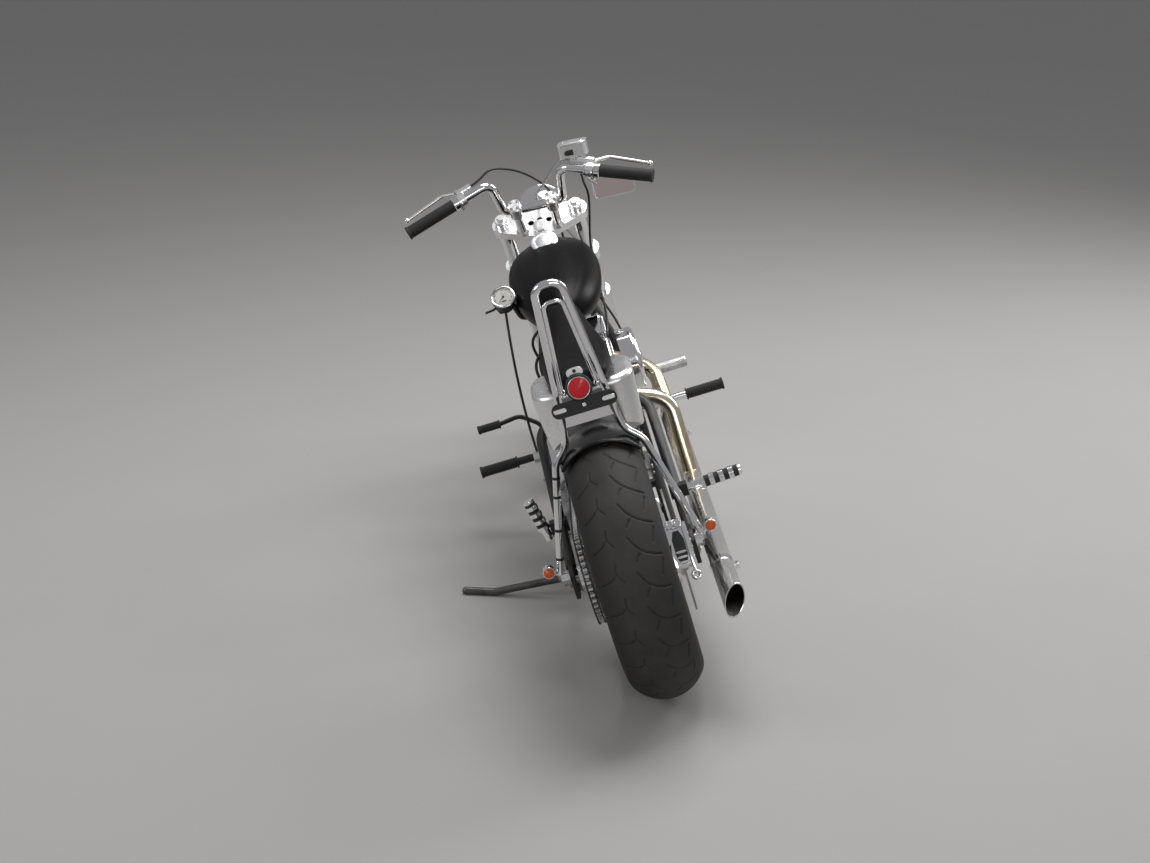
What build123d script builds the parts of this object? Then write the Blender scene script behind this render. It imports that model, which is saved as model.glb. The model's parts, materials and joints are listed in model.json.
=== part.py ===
from build123d import *
import os
from math import asin, atan2, cos, hypot, pi, radians, sin, sqrt, tan

# Chopper motorcycle, in millimetres. Every piece is drawn on the upright machine, with X to the
# right, Y forward, Z up and the origin on the floor under the rear axle. The steered pieces are
# then turned about the steering axis, and at the end the whole machine is leaned onto its stand.

# Stance
lean = 16.5
steer_turn = -5.0
wheelbase = 1530.0

# Rear wheel
rear_tyre_radius = 325.0
rear_tyre_width = 178.0
rear_crown_radius = 98.0
rear_rim_radius = 206.0
rear_rim_width = 132.0
rear_rim_depth = 26.0
rear_hub_radius = 34.0
rear_flange_radius = 52.0
rear_flange_offset = 46.0
rear_axle_diameter = 20.0
rear_axle_end_diameter = 16.0
rear_axle_end_length = 18.0

# Front wheel
front_tyre_radius = 338.0
front_tyre_width = 92.0
front_crown_radius = 50.0
front_rim_radius = 269.0
front_rim_width = 62.0
front_rim_depth = 20.0
front_hub_radius = 24.0
front_flange_radius = 40.0
front_flange_offset = 30.0
front_axle_diameter = 17.0

spoke_diameter = 4.0
spoke_count = 32
axle_clearance = 0.3
tyre_wall = 22.0

# Steering and fork
rake = 35.0
yoke_height = 885.0
yoke_offset = 45.0
yoke_thickness = 26.0
lower_yoke_thickness = 32.0
head_length = 150.0
head_diameter = 56.0
head_gap = 2.0
stem_diameter = 26.0
fork_spacing = 214.0
fork_tube_diameter = 41.0
fork_slider_diameter = 52.0
slider_length = 330.0
fork_cap_height = 16.0
fork_cap_diameter = 38.0
riser_spacing = 104.0
riser_diameter = 26.0
riser_height = 96.0
bar_diameter = 25.4
bar_rise = 120.0
grip_diameter = 34.0
control_cable_diameter = 6.5
hose_diameter = 7.5
meter_cable_diameter = 7.0

# Frame tubes
backbone_diameter = 48.0
down_tube_diameter = 30.0
stay_diameter = 26.0
seat_tube_gap = 77.0
cradle_half_width = 112.0
rail_height = 150.0
axle_plate_offset = 146.0
axle_plate_thickness = 10.0

# Drive and brakes
chain_line = 110.0
chain_pitch = 15.875
chain_width = 17.0
chain_height = 15.0
rear_teeth = 43
front_teeth = 17
sprocket_thickness = 7.0
tooth_height = 5.0
disc_thickness = 5.0
rear_disc_radius = 146.0
rear_disc_offset = 108.0
front_disc_radius = 146.0
front_disc_offset = 60.0

# Engine
seat_tube_to_crank = 358.0
primary_centres = 204.0
crank_z = 300.0
vee_half_angle = 22.5
case_radius = 112.0
case_left = 66.0
case_right = 84.0
barrel_start = 128.0
barrel_length = 138.0
barrel_diameter = 96.0
fin_size = 148.0
fin_corner = 42.0
fin_thickness = 4.0
fin_count = 8
head_height = 66.0
rocker_height = 50.0
rocker_width = 150.0
rocker_shift = 20.0
rocker_depth = 104.0

# Tank, oil tank, seat, fender
tank_head_gap = 92.0
tank_tail_gap = 210.0
oil_tank_floor = 552.0
oil_tank_height = 148.0
seat_thickness = 46.0
fender_gap = 12.0
fender_thickness = 3.0
fender_half_width = 88.0
rail_tube_diameter = 17.0

# Exhaust
pipe_diameter = 56.0
header_diameter = 42.0
pipe_side = 196.0
pipe_end_y = -170.0
pipe_end_z = 236.0

fit_gap = 0.3

rake_sin = sin(radians(rake))
rake_cos = cos(radians(rake))
axle_drop = (yoke_height + yoke_offset * rake_sin - front_tyre_radius) / rake_cos
head_y = wheelbase - axle_drop * rake_sin - yoke_offset * rake_cos
seat_tube_y = rear_tyre_radius + seat_tube_gap
crank_y = seat_tube_y + seat_tube_to_crank
crown_centre = rear_tyre_radius - rear_crown_radius
crown_z = rear_tyre_radius + crown_centre + rear_crown_radius + fender_gap + fender_thickness
steer_axis = Axis((0, head_y, yoke_height), (0, -rake_sin, rake_cos))

pieces = {}


def add(node, shape, steered=False):
    """Keep a finished piece under its node name."""
    if steered:
        shape = shape.rotate(steer_axis, steer_turn)
    pieces[node] = shape


def at_fork(x, forward, along):
    """A point by its distances from the steering axis and along it, upwards from the top yoke."""
    y = head_y + forward * rake_cos - along * rake_sin
    z = yoke_height + forward * rake_sin + along * rake_cos
    return Vector(x, y, z)


def fork_plane(x, forward, along):
    """A plane across the steering axis, its x to the right and its y forward."""
    return Plane(origin=at_fork(x, forward, along), x_dir=(1, 0, 0), z_dir=(0, -rake_sin, rake_cos))


def rod(points, diameter, bends=None):
    """A round bar through the points, with an arc at each corner."""
    if len(points) == 2:
        path = Line(*points)
    else:
        path = FilletPolyline(*points, radius=bends)
    section = Plane(origin=path @ 0, z_dir=path % 0) * Circle(diameter / 2)
    return sweep(section, path=path)


def bar_x(x_low, x_high, y, z, diameter):
    """A round bar along X."""
    middle = Pos((x_low + x_high) / 2, y, z) * Rot(0, 90, 0)
    return middle * Cylinder(diameter / 2, x_high - x_low)


def slab_x(outline, x_low, x_high):
    """A plate in the side plane: the outline's points are (y, z)."""
    face = Plane.YZ.offset(x_low) * make_face(Polyline(*outline, close=True))
    return extrude(face, amount=x_high - x_low)


def mirrored(shape):
    return mirror(shape, about=Plane.YZ)


def both(shape):
    """The piece and its mirror image across the machine's middle plane."""
    return Compound([shape, mirrored(shape)])


def tyre(radius, width, crown_radius, rim_radius, rim_width):
    """A tyre about X: crown and two side arcs, with the bead on the rim."""
    crown_half = width / 2 * 0.86
    crown_drop = crown_radius - sqrt(crown_radius ** 2 - crown_half ** 2)
    widest = (radius - crown_drop) * 0.45 + rim_radius * 0.55
    bead = rim_width / 2 - 6
    tread = ThreePointArc((-crown_half, radius - crown_drop), (0, radius), (crown_half, radius - crown_drop))
    side = ThreePointArc((crown_half, radius - crown_drop), (width / 2, widest), (bead, rim_radius))
    other = ThreePointArc((-bead, rim_radius), (-width / 2, widest), (-crown_half, radius - crown_drop))
    inner_left = (-bead + tyre_wall * 0.4, rim_radius)
    inner_right = (bead - tyre_wall * 0.4, rim_radius)
    inner_top = (0, radius - tyre_wall)
    inner = ThreePointArc(inner_right, inner_top, inner_left)
    outline = [tread, side, Line((bead, rim_radius), inner_right), inner,
               Line(inner_left, (-bead, rim_radius)), other]
    return revolve(make_face(outline), axis=Axis.X)


def rim_ring(rim_radius, rim_width, rim_depth):
    """A drop-centre rim about X."""
    half = rim_width / 2
    rim_outline = Polyline((-half, rim_radius + 12), (-half, rim_radius - 5), (-half * 0.72, rim_radius - 8),
                           (-half * 0.5, rim_radius - rim_depth), (half * 0.5, rim_radius - rim_depth),
                           (half * 0.72, rim_radius - 8), (half, rim_radius - 5), (half, rim_radius + 12),
                           (half - 5, rim_radius + 12), (half - 5.5, rim_radius - fit_gap),
                           (-half + 5.5, rim_radius - fit_gap), (-half + 5, rim_radius + 12), close=True)
    return revolve(make_face(rim_outline), axis=Axis.X)


def wire_wheel(rim, rim_radius, rim_width, rim_depth, hub_radius, hub_low, hub_high,
               flanges, flange_radius, flange_offset, bore_diameter):
    """Rim, hub with its flanges (low, high, radius), and wires laced to the rim, about X."""
    bore = bore_diameter / 2 + axle_clearance
    hub = bar_x(hub_low, hub_high, 0, 0, 2 * hub_radius)
    for low, high, radius in flanges:
        hub += bar_x(low, high, 0, 0, 2 * radius)
    hub -= bar_x(hub_low, hub_high, 0, 0, 2 * bore)
    wires = []
    for number in range(spoke_count):
        side = 1 if number % 2 else -1
        angle = 2 * pi * number / spoke_count
        sweep_angle = angle + radians(34) * (1 if number % 4 < 2 else -1)
        low = flange_radius - 5
        high = rim_radius - rim_depth + 4
        start = (side * (flange_offset + 3), low * cos(sweep_angle), low * sin(sweep_angle))
        end = (side * rim_width * 0.12, high * cos(angle), high * sin(angle))
        wires.append(rod([start, end], spoke_diameter))
    return rim.fuse(hub, *wires)


def toothed_ring(teeth, thickness, bore):
    """A chain sprocket about X: trapezoid teeth on the pitch circle."""
    pitch_radius = chain_pitch / (2 * sin(pi / teeth))
    step = 2 * pi / teeth
    # share of the step, height over the pitch circle
    profile = ((-0.42, -tooth_height), (-0.14, tooth_height), (0.14, tooth_height), (0.42, -tooth_height))
    points = []
    for number in range(teeth):
        for share, height in profile:
            angle = step * (number + share)
            points.append(((pitch_radius + height) * cos(angle), (pitch_radius + height) * sin(angle)))
    ring = make_face(Polyline(*points, close=True)) - Circle(bore)
    return extrude(Plane.YZ.offset(-thickness / 2) * ring, amount=thickness)


# Wheels, first about the X axis at the origin and then on their axles
rear_centre = Pos(0, 0, rear_tyre_radius)
front_centre = Pos(0, wheelbase, front_tyre_radius)
rear_pitch_radius = chain_pitch / (2 * sin(pi / rear_teeth))
front_pitch_radius = chain_pitch / (2 * sin(pi / front_teeth))
rear_hub_half = axle_plate_offset - axle_plate_thickness / 2 - 10
hub_end_gap = 5.0

rear_rim = rim_ring(rear_rim_radius, rear_rim_width, rear_rim_depth)
rear_tyre = tyre(rear_tyre_radius, rear_tyre_width, rear_crown_radius, rear_rim_radius, rear_rim_width - 10)
add("rear_tyre", rear_centre * (rear_tyre - rear_rim))
rear_flanges = [(-rear_flange_offset - 6, -rear_flange_offset, rear_flange_radius),
                (rear_flange_offset, rear_flange_offset + 6, rear_flange_radius),
                (-chain_line + sprocket_thickness / 2, -chain_line + sprocket_thickness / 2 + 8, 66),
                (rear_disc_offset - disc_thickness / 2 - 8, rear_disc_offset - disc_thickness / 2, 62)]
rear_wire = wire_wheel(rear_rim, rear_rim_radius, rear_rim_width, rear_rim_depth, rear_hub_radius,
                       -rear_hub_half, rear_disc_offset + 8, rear_flanges, rear_flange_radius,
                       rear_flange_offset, rear_axle_diameter)
sprocket_bore = rear_hub_radius + fit_gap
sprocket = Pos(-chain_line, 0, 0) * toothed_ring(rear_teeth, sprocket_thickness, sprocket_bore)
rear_disc = Pos(rear_disc_offset, 0, 0) * Rot(0, 90, 0) * (
    Cylinder(rear_disc_radius, disc_thickness) - Cylinder(sprocket_bore, disc_thickness))
add("rear_wheel_rim", rear_centre * rear_wire)
add("rear_sprocket", rear_centre * sprocket)
add("rear_disc", rear_centre * rear_disc)

front_rim = rim_ring(front_rim_radius, front_rim_width, front_rim_depth)
front_tyre = tyre(front_tyre_radius, front_tyre_width, front_crown_radius, front_rim_radius, front_rim_width - 10)
front_rubber = (front_tyre - front_rim).solids().sort_by(SortBy.VOLUME)[-1]
add("front_tyre", front_centre * front_rubber, steered=True)
front_hub_half = fork_spacing / 2 - fork_slider_diameter / 2 - hub_end_gap
front_flanges = [(-front_flange_offset - 6, -front_flange_offset, front_flange_radius),
                 (front_flange_offset, front_flange_offset + 6, front_flange_radius),
                 (front_disc_offset - disc_thickness / 2 - 7, front_disc_offset - disc_thickness / 2, 46)]
front_wire = wire_wheel(front_rim, front_rim_radius, front_rim_width, front_rim_depth, front_hub_radius,
                        -front_hub_half, front_hub_half, front_flanges, front_flange_radius,
                        front_flange_offset, front_axle_diameter)
front_disc_bore = front_hub_radius + fit_gap
front_disc = Pos(front_disc_offset, 0, 0) * Rot(0, 90, 0) * (
    Cylinder(front_disc_radius, disc_thickness) - Cylinder(front_disc_bore, disc_thickness))
add("front_wheel_rim", front_centre * front_wire, steered=True)
add("front_disc", front_centre * front_disc, steered=True)

# Axles
plate_outer = axle_plate_offset + axle_plate_thickness / 2
axle_shoulder = plate_outer + 2
axle_tip = axle_shoulder + rear_axle_end_length
rear_axle = bar_x(-axle_shoulder, axle_shoulder, 0, rear_tyre_radius, rear_axle_diameter)
rear_axle += bar_x(-axle_tip, axle_tip, 0, rear_tyre_radius, rear_axle_end_diameter)
add("rear_axle", rear_axle)
front_axle_half = fork_spacing / 2 + fork_slider_diameter / 2 + 6
front_axle = bar_x(-front_axle_half, front_axle_half, wheelbase, front_tyre_radius, front_axle_diameter)
add("front_axle", front_axle, steered=True)

# Steering head and frame
head_top = -yoke_thickness / 2 - head_gap
head_bottom = head_top - head_length
head_tube = fork_plane(0, 0, head_bottom) * extrude(Circle(head_diameter / 2), amount=head_length)
head_bore = fork_plane(0, 0, head_bottom - 1) * extrude(
    Circle(stem_diameter / 2 + fit_gap), amount=head_length + 2)
head_solid = head_tube
backbone_top = at_fork(0, 0, head_top - head_length * 0.32)
tank_bend = Vector(0, crank_y, crank_z + 452)
seat_bend = Vector(0, seat_tube_y + 68, crank_z + 368)
seat_foot = Vector(0, seat_tube_y, rail_height + 8)
backbone = rod([backbone_top, tank_bend, seat_bend, seat_foot], backbone_diameter, [300, 90]) - head_solid
backbone += head_tube - head_bore
add("frame_backbone", backbone)

down_top = at_fork(-16, 0, head_bottom + 74)
down_foot = Vector(-cradle_half_width, crank_y + 250, rail_height)
down_mid_y = down_foot.Y + (at_fork(0, 0, head_bottom).Y - down_foot.Y) * 0.43
down_mid = Vector(-cradle_half_width, down_mid_y, crank_z + 200)
rail_rear = Vector(-cradle_half_width, seat_tube_y - 22, rail_height)
rail_wide = Vector(-axle_plate_offset + 2, seat_tube_y - 152, rail_height + 36)
plate_front = Vector(-axle_plate_offset, 46, rear_tyre_radius - 8)
down_tube = rod([down_top, down_mid, down_foot, rail_rear, rail_wide, plate_front], down_tube_diameter,
                [110, 80, 120, 120]) - head_solid
plate_outline = [(-42, -30), (-42, 30), (-10, 44), (70, 34), (84, 8), (84, -34), (40, -44)]
plate = slab_x([(y, rear_tyre_radius + z) for y, z in plate_outline],
               -axle_plate_offset - axle_plate_thickness / 2,
               -axle_plate_offset + axle_plate_thickness / 2)
axle_hole = bar_x(-200, 200, 0, rear_tyre_radius, rear_axle_diameter)
down_tube = down_tube - plate - backbone

stay_top = Vector(-14, seat_tube_y + 54, crank_z + 300)
stay_bend = Vector(-axle_plate_offset + 4, seat_tube_y - 2, crank_z + 260)
stay_foot = Vector(-axle_plate_offset, 30, rear_tyre_radius + 20)
stay = rod([stay_top, stay_bend, stay_foot], stay_diameter, [70])
passenger_y = 140.0
stay_slope = (stay_bend.Z - stay_foot.Z) / (stay_bend.Y - stay_foot.Y)
passenger_z = stay_foot.Z + (passenger_y - stay_foot.Y) * stay_slope
stay_side = axle_plate_offset + stay_diameter / 2
ear = Pos(-stay_side + 10, passenger_y, passenger_z) * Box(44, 24, 30)
rear_stay = stay + plate + ear - axle_hole - backbone - down_tube
rear_stay = rear_stay.solids().sort_by(SortBy.VOLUME)[-1]
add("frame_rear_stays", both(rear_stay))

case_floor = 186.0
cradle = down_tube + mirrored(down_tube)
for y in (crank_y - 100, crank_y + 90):
    cradle += bar_x(-cradle_half_width, cradle_half_width, y, rail_height, down_tube_diameter - 4)
    cradle += Pos(0, y, (rail_height + case_floor) / 2) * Box(90, 40, case_floor - rail_height)

# Engine: crankcase, finned cylinders, heads with rocker boxes, pushrod tubes
primary_inner = 122.0
primary_thickness = 50.0
gearbox_y = crank_y - primary_centres
gearbox_z = 304.0
gearbox_half = 86.0
crank_boss = 92.0
case_outline = [(-case_radius, -60), (-case_radius + 24, case_floor - crank_z), (case_radius - 20, case_floor - crank_z),
                (case_radius, -40), (case_radius + 4, 70), (62, 128), (-62, 128), (-case_radius, 80)]
crankcase = slab_x([(crank_y + y, crank_z + z) for y, z in case_outline], -case_left, case_right)
crankcase = fillet(crankcase.edges().filter_by(Axis.X), 14)
crankcase += bar_x(-primary_inner, 0, crank_y, crank_z, 2 * crank_boss)
crankcase += bar_x(0, case_right + 20, crank_y + 6, crank_z - 6, 2 * 84)


def vee_plane(side, along):
    """A plane across one cylinder, along its axis from the crank: side is 1 in front, -1 behind."""
    lean_out = radians(vee_half_angle) * side
    origin = (0, crank_y + along * sin(lean_out), crank_z + along * cos(lean_out))
    return Plane(origin=origin, x_dir=(1, 0, 0), z_dir=(0, sin(lean_out), cos(lean_out)))


head_start = barrel_start + barrel_length
rocker_start = head_start + head_height
barrels = []
heads = []
rockers = []
for side in (1, -1):
    barrel = vee_plane(side, barrel_start - 20) * extrude(Circle(barrel_diameter / 2), amount=barrel_length + 20)
    pitch = (barrel_length - fin_thickness) / (fin_count - 0.5)
    for number in range(fin_count):
        fin = RectangleRounded(fin_size, fin_size, fin_corner)
        barrel += vee_plane(side, barrel_start + 12 + number * pitch * 0.96) * extrude(fin, amount=fin_thickness)
    head = vee_plane(side, head_start) * extrude(RectangleRounded(118, 112, 20), amount=head_height)
    for number in range(3):
        fin = RectangleRounded(fin_size + 4, fin_size, fin_corner)
        head += vee_plane(side, head_start + 5 + number * 18) * extrude(fin, amount=fin_thickness + 1)
    rocker_face = Pos(rocker_shift, 0) * RectangleRounded(rocker_width, rocker_depth, 18)
    rocker = vee_plane(side, rocker_start) * extrude(rocker_face, amount=rocker_height)
    rocker = fillet(rocker.faces().sort_by(Axis.Z)[-1].edges(), 12)
    barrels.append(barrel)
    heads.append(head)
    rockers.append(rocker)
pushrod_x = 85.0
lifter_top = crank_z + 130
crankcase += Pos(pushrod_x + 1, crank_y, lifter_top - 24) * Box(24, 112, 48)
crankcase -= barrels[0]
crankcase -= barrels[1]
overlap_plane = Plane(origin=(0, crank_y, crank_z), z_dir=(0, 1, 0))
barrels = [split(barrels[0], bisect_by=overlap_plane, keep=Keep.TOP),
           split(barrels[1], bisect_by=overlap_plane, keep=Keep.BOTTOM)]
add("crankcase", crankcase)
add("cylinders", Compound(barrels))
add("cylinder_heads", Compound(heads))

pushrods = []
for side in (1, -1):
    for near, far in ((16, 17), (42, -17)):
        foot = Vector(pushrod_x, crank_y + side * near, lifter_top)
        top = vee_plane(side, rocker_start + 4) * Pos(pushrod_x, far * side * -1, 0)
        pushrods.append(rod([foot, top.position], 14))
rocker_boxes = []
for number, rocker in enumerate(rockers):
    rocker_boxes.append(rocker + pushrods[2 * number] + pushrods[2 * number + 1] - crankcase)
add("rocker_boxes", Compound(rocker_boxes))

# Primary cover, gearbox with the front sprocket, chain
primary_x = -primary_inner - primary_thickness
primary_face = make_hull((Pos(crank_y, crank_z) * Circle(96)).edges() + (Pos(gearbox_y, gearbox_z) * Circle(112)).edges())
primary = extrude(Plane.YZ.offset(primary_x) * primary_face, amount=primary_thickness)
primary = fillet(primary.faces().sort_by(Axis.X)[0].edges(), 14)
meter_drive = Vector(primary_x - 13, crank_y - 12, crank_z + 66)
primary += bar_x(primary_x - 26, primary_x + 4, meter_drive.Y, meter_drive.Z, 34)
add("primary_cover", primary)

gearbox_back = gearbox_y - gearbox_half
gearbox_front = crank_y - case_radius
gearbox = Pos((case_right - case_left) / 2, (gearbox_back + gearbox_front) / 2, gearbox_z + 6) * Box(
    case_right + case_left, gearbox_front - gearbox_back, 168)
gearbox = fillet(gearbox.edges().filter_by(Axis.X), 30)
gearbox -= backbone
gearbox -= crankcase
gearbox += bar_x(-primary_inner, 0, gearbox_y, gearbox_z, 44)
gearbox += Pos(-chain_line, gearbox_y, gearbox_z) * toothed_ring(front_teeth, sprocket_thickness, 20)
gearbox -= backbone
add("gearbox", gearbox)

run_length = hypot(gearbox_y, gearbox_z - rear_tyre_radius)
run_slope = atan2(gearbox_z - rear_tyre_radius, gearbox_y)
run_open = asin((rear_pitch_radius - front_pitch_radius) / run_length)
upper_turn = pi / 2 + run_slope - run_open
lower_turn = -pi / 2 + run_slope + run_open


def chain_loop(inset):
    """The chain's outline at a distance inside or outside its pitch line, in the side plane."""
    rear_r = rear_pitch_radius + inset
    front_r = front_pitch_radius + inset
    rear_up = (rear_r * cos(upper_turn), rear_tyre_radius + rear_r * sin(upper_turn))
    rear_low = (rear_r * cos(lower_turn), rear_tyre_radius + rear_r * sin(lower_turn))
    front_up = (gearbox_y + front_r * cos(upper_turn), gearbox_z + front_r * sin(upper_turn))
    front_low = (gearbox_y + front_r * cos(lower_turn), gearbox_z + front_r * sin(lower_turn))
    rear_back = (rear_r * cos(run_slope + pi), rear_tyre_radius + rear_r * sin(run_slope + pi))
    front_nose = (gearbox_y + front_r * cos(run_slope), gearbox_z + front_r * sin(run_slope))
    return make_face([Line(rear_up, front_up), ThreePointArc(front_up, front_nose, front_low),
                      Line(front_low, rear_low), ThreePointArc(rear_low, rear_back, rear_up)])


def chain_solid(half_height, width):
    ring = chain_loop(half_height) - chain_loop(-half_height)
    return extrude(Plane.YZ.offset(-chain_line - width / 2) * ring, amount=width)


chain = chain_solid(chain_height / 2 - 2, chain_width - 4)
pitch_wire = Plane.YZ.offset(-chain_line) * chain_loop(0).faces()[0].outer_wire()
link_count = 2 * round(pitch_wire.length / chain_pitch / 2)
links = []
for number in range(0, link_count, 2):
    share = number / link_count
    middle = Plane(origin=pitch_wire.position_at(share), x_dir=pitch_wire.tangent_at(share), z_dir=(1, 0, 0))
    links.append(middle * Box(chain_pitch + 7, chain_height, chain_width))
chain = chain.fuse(*links)
teeth_room = rear_centre * Pos(-chain_line, 0, 0) * Rot(0, 90, 0) * Cylinder(
    rear_pitch_radius + tooth_height + 3, sprocket_thickness + 3)
front_room = Pos(-chain_line, gearbox_y, gearbox_z) * Rot(0, 90, 0) * Cylinder(
    front_pitch_radius + tooth_height + 1, sprocket_thickness + fit_gap)
chain -= teeth_room
chain -= front_room
add("chain", chain)

# Carburettor and air cleaner, on the right between the cylinders
carb_z = 556.0
carb = bar_x(-34, 112, crank_y, carb_z, 40)
for side in (1, -1):
    carb += rod([(0, crank_y, carb_z), (0, crank_y + side * 70, carb_z + 4)], 30)
carb = carb - heads[0] - heads[1] - barrels[0] - barrels[1]
carb = carb.solids().sort_by(SortBy.VOLUME)[-1]
add("carburettor", carb)
cleaner = bar_x(112, 158, crank_y, carb_z, 168)
cleaner = fillet(cleaner.faces().sort_by(Axis.X)[-1].edges(), 10)
add("air_cleaner", cleaner)

# Exhaust on the right: two headers join one straight pipe with a slash-cut end
pipe_start = Vector(pipe_side, crank_y + 120, crank_z + 30)
pipe_end = Vector(pipe_side, pipe_end_y, pipe_end_z)
pipe = rod([pipe_start, pipe_end], pipe_diameter)
slash = Plane(origin=pipe_end + Vector(0, 10, 0), z_dir=(0.55, -0.8, -0.25))
pipe = split(pipe, bisect_by=slash, keep=Keep.BOTTOM)
pipe_plane = Plane(origin=pipe_end, z_dir=pipe_start - pipe_end)
pipe -= pipe_plane * extrude(Circle(pipe_diameter / 2 - 2.5), amount=160, both=True)
add("exhaust_pipe", pipe)
port_along = head_start + 30
front_port = (vee_plane(1, port_along) * Pos(20, 56, 0)).position
rear_port = (vee_plane(-1, port_along) * Pos(30, -56, 0)).position
front_header = rod([front_port, front_port + Vector(8, 78, -22), Vector(pipe_side - 6, crank_y + 262, crank_z + 124),
                    pipe_start + Vector(0, 14, 8), pipe_start + Vector(0, -70, -6)], header_diameter, [34, 60, 34])
rear_header = rod([rear_port, rear_port + Vector(4, -42, 4), Vector(pipe_side, rear_port.Y - 66, crank_z + 200),
                   Vector(pipe_side, rear_port.Y - 130, crank_z - 10)], header_diameter, [30, 60])
headers = front_header + rear_header
headers = headers - pipe - heads[0] - heads[1]
headers = headers.solids().sort_by(SortBy.VOLUME)[-2:]
add("exhaust_headers", Compound(headers))

# Chrome oil tank round the seat tube, under the seat
oil_tank_depth = 168.0
oil_tank_plan = RectangleRounded(238, oil_tank_depth, 52)
oil_tank_centre = Pos(0, seat_tube_y - oil_tank_depth / 2, oil_tank_floor)
oil_tank = oil_tank_centre * extrude(oil_tank_plan, amount=oil_tank_height, taper=-4)
oil_tank = fillet(oil_tank.faces().sort_by(Axis.Z)[-1].edges(), 16)
fender_room = Pos(0, 0, rear_tyre_radius) * Rot(0, 90, 0) * Cylinder(crown_z - rear_tyre_radius + 4, 400)
oil_tank = oil_tank - fender_room - backbone - both(stay)
oil_tank = oil_tank.solids().sort_by(SortBy.VOLUME)[-1]
add("oil_tank", oil_tank)

# Fuel tank: sections across the machine, measured from the backbone under them
tank_tail_y = seat_tube_y + tank_tail_gap
tank_nose_y = head_y - tank_head_gap
# share of the length, half width, bottom and top over the backbone
tank_rows = [(0.0, 34, 33, 91), (0.2, 92, 2, 107), (0.54, 123, -23, 104), (0.82, 121, -20, 98), (1.0, 84, -9, 79)]


def tank_y(share):
    return tank_tail_y + share * (tank_nose_y - tank_tail_y)


def spine_z(y):
    """Height of the backbone's centre line."""
    near, far = (seat_bend, tank_bend) if y < tank_bend.Y else (tank_bend, backbone_top)
    return near.Z + (y - near.Y) * (far.Z - near.Z) / (far.Y - near.Y)


def tank_section(share, half, low, high):
    y = tank_y(share)
    bottom = spine_z(y) + low
    top = spine_z(y) + high
    side_z = bottom + (top - bottom) * 0.42
    left_low = Vector(-half * 0.8, y, bottom)
    right_low = Vector(half * 0.8, y, bottom)
    left_high = Vector(-half * 0.62, y, top - (top - bottom) * 0.14)
    right_high = Vector(half * 0.62, y, top - (top - bottom) * 0.14)
    return make_face([Line(left_low, right_low), ThreePointArc(right_low, (half, y, side_z), right_high),
                      ThreePointArc(right_high, (0, y, top), left_high),
                      ThreePointArc(left_high, (-half, y, side_z), left_low)])


fuel_tank = loft([tank_section(*row) for row in tank_rows])
tunnel = rod([backbone_top, tank_bend, seat_bend], backbone_diameter + 2 * fit_gap, [300])
lower_tunnel = Pos(0, 0, -40) * rod([backbone_top, tank_bend, seat_bend], backbone_diameter + 2 * fit_gap, [300])
fuel_tank = fuel_tank - tunnel - lower_tunnel - head_solid
fuel_tank = fuel_tank.solids().sort_by(SortBy.VOLUME)[-1]
add("fuel_tank", fuel_tank)
cap_y = tank_y(0.845)
cap_plane = Plane(origin=(0, cap_y, spine_z(cap_y) + 88), x_dir=(1, 0, 0), z_dir=(0, -0.12, 1))
tank_cap = cap_plane * (Cylinder(36, 26) + Pos(0, 0, 16) * Cylinder(31, 10))
tank_cap -= fuel_tank
tank_cap = tank_cap.solids().sort_by(Axis.Z)[-1]
add("tank_cap", tank_cap)

# Rear fender: a short hugger concentric with the tyre's crown, with beaded edges and a rear lip
fender_inner = rear_crown_radius + fender_gap
fender_outer = fender_inner + fender_thickness
fender_reach = asin(fender_half_width / fender_inner)
fender_back = 10.0
fender_front = 62.0


def fender_point(radius, reach):
    return Vector(radius * sin(reach), crown_centre + radius * cos(reach))


def fender_arc(radius):
    return ThreePointArc(fender_point(radius, -fender_reach), fender_point(radius, 0), fender_point(radius, fender_reach))


fender_face = make_face([fender_arc(fender_inner), fender_arc(fender_outer),
                         Line(fender_point(fender_inner, -fender_reach), fender_point(fender_outer, -fender_reach)),
                         Line(fender_point(fender_inner, fender_reach), fender_point(fender_outer, fender_reach))])
for side in (-1, 1):
    fender_face += Pos(fender_point(fender_outer, side * fender_reach)) * Circle(4)
fender_plane = Plane(origin=(0, 0, 0), x_dir=(1, 0, 0), z_dir=(0, -1, 0))
fender_profile = (fender_plane * fender_face).rotate(Axis.X, fender_back)
fender = revolve(fender_profile, axis=Axis.X, revolution_arc=-(fender_back + fender_front))
lip_path = (fender_plane * fender_arc(fender_outer)).rotate(Axis.X, fender_back)
lip = sweep(Plane(origin=lip_path @ 0, z_dir=lip_path % 0) * Circle(4.5), path=lip_path)
fender = rear_centre * (fender + lip)
add("rear_fender", fender)

# Seat on the oil tank's top, its nose over the backbone against the fuel tank's tail
seat_floor = oil_tank_floor + oil_tank_height + fit_gap
seat_rear = seat_tube_y - 214
seat_top = seat_floor + seat_thickness
# y from the seat tube, height over the seat's top at the rear
seat_crest = [(190, 66), (168, 62), (60, 14), (-60, -6), (-150, 2), (-204, 0)]
seat_side = [(seat_rear, seat_floor), (seat_tube_y + 100, seat_floor), (seat_tube_y + 206, seat_floor + 56)]
seat_side += [(seat_tube_y + y, seat_top + z) for y, z in seat_crest]
seat_side += [(seat_rear, seat_top - 12)]
seat = slab_x(seat_side, -110, 110)
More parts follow.
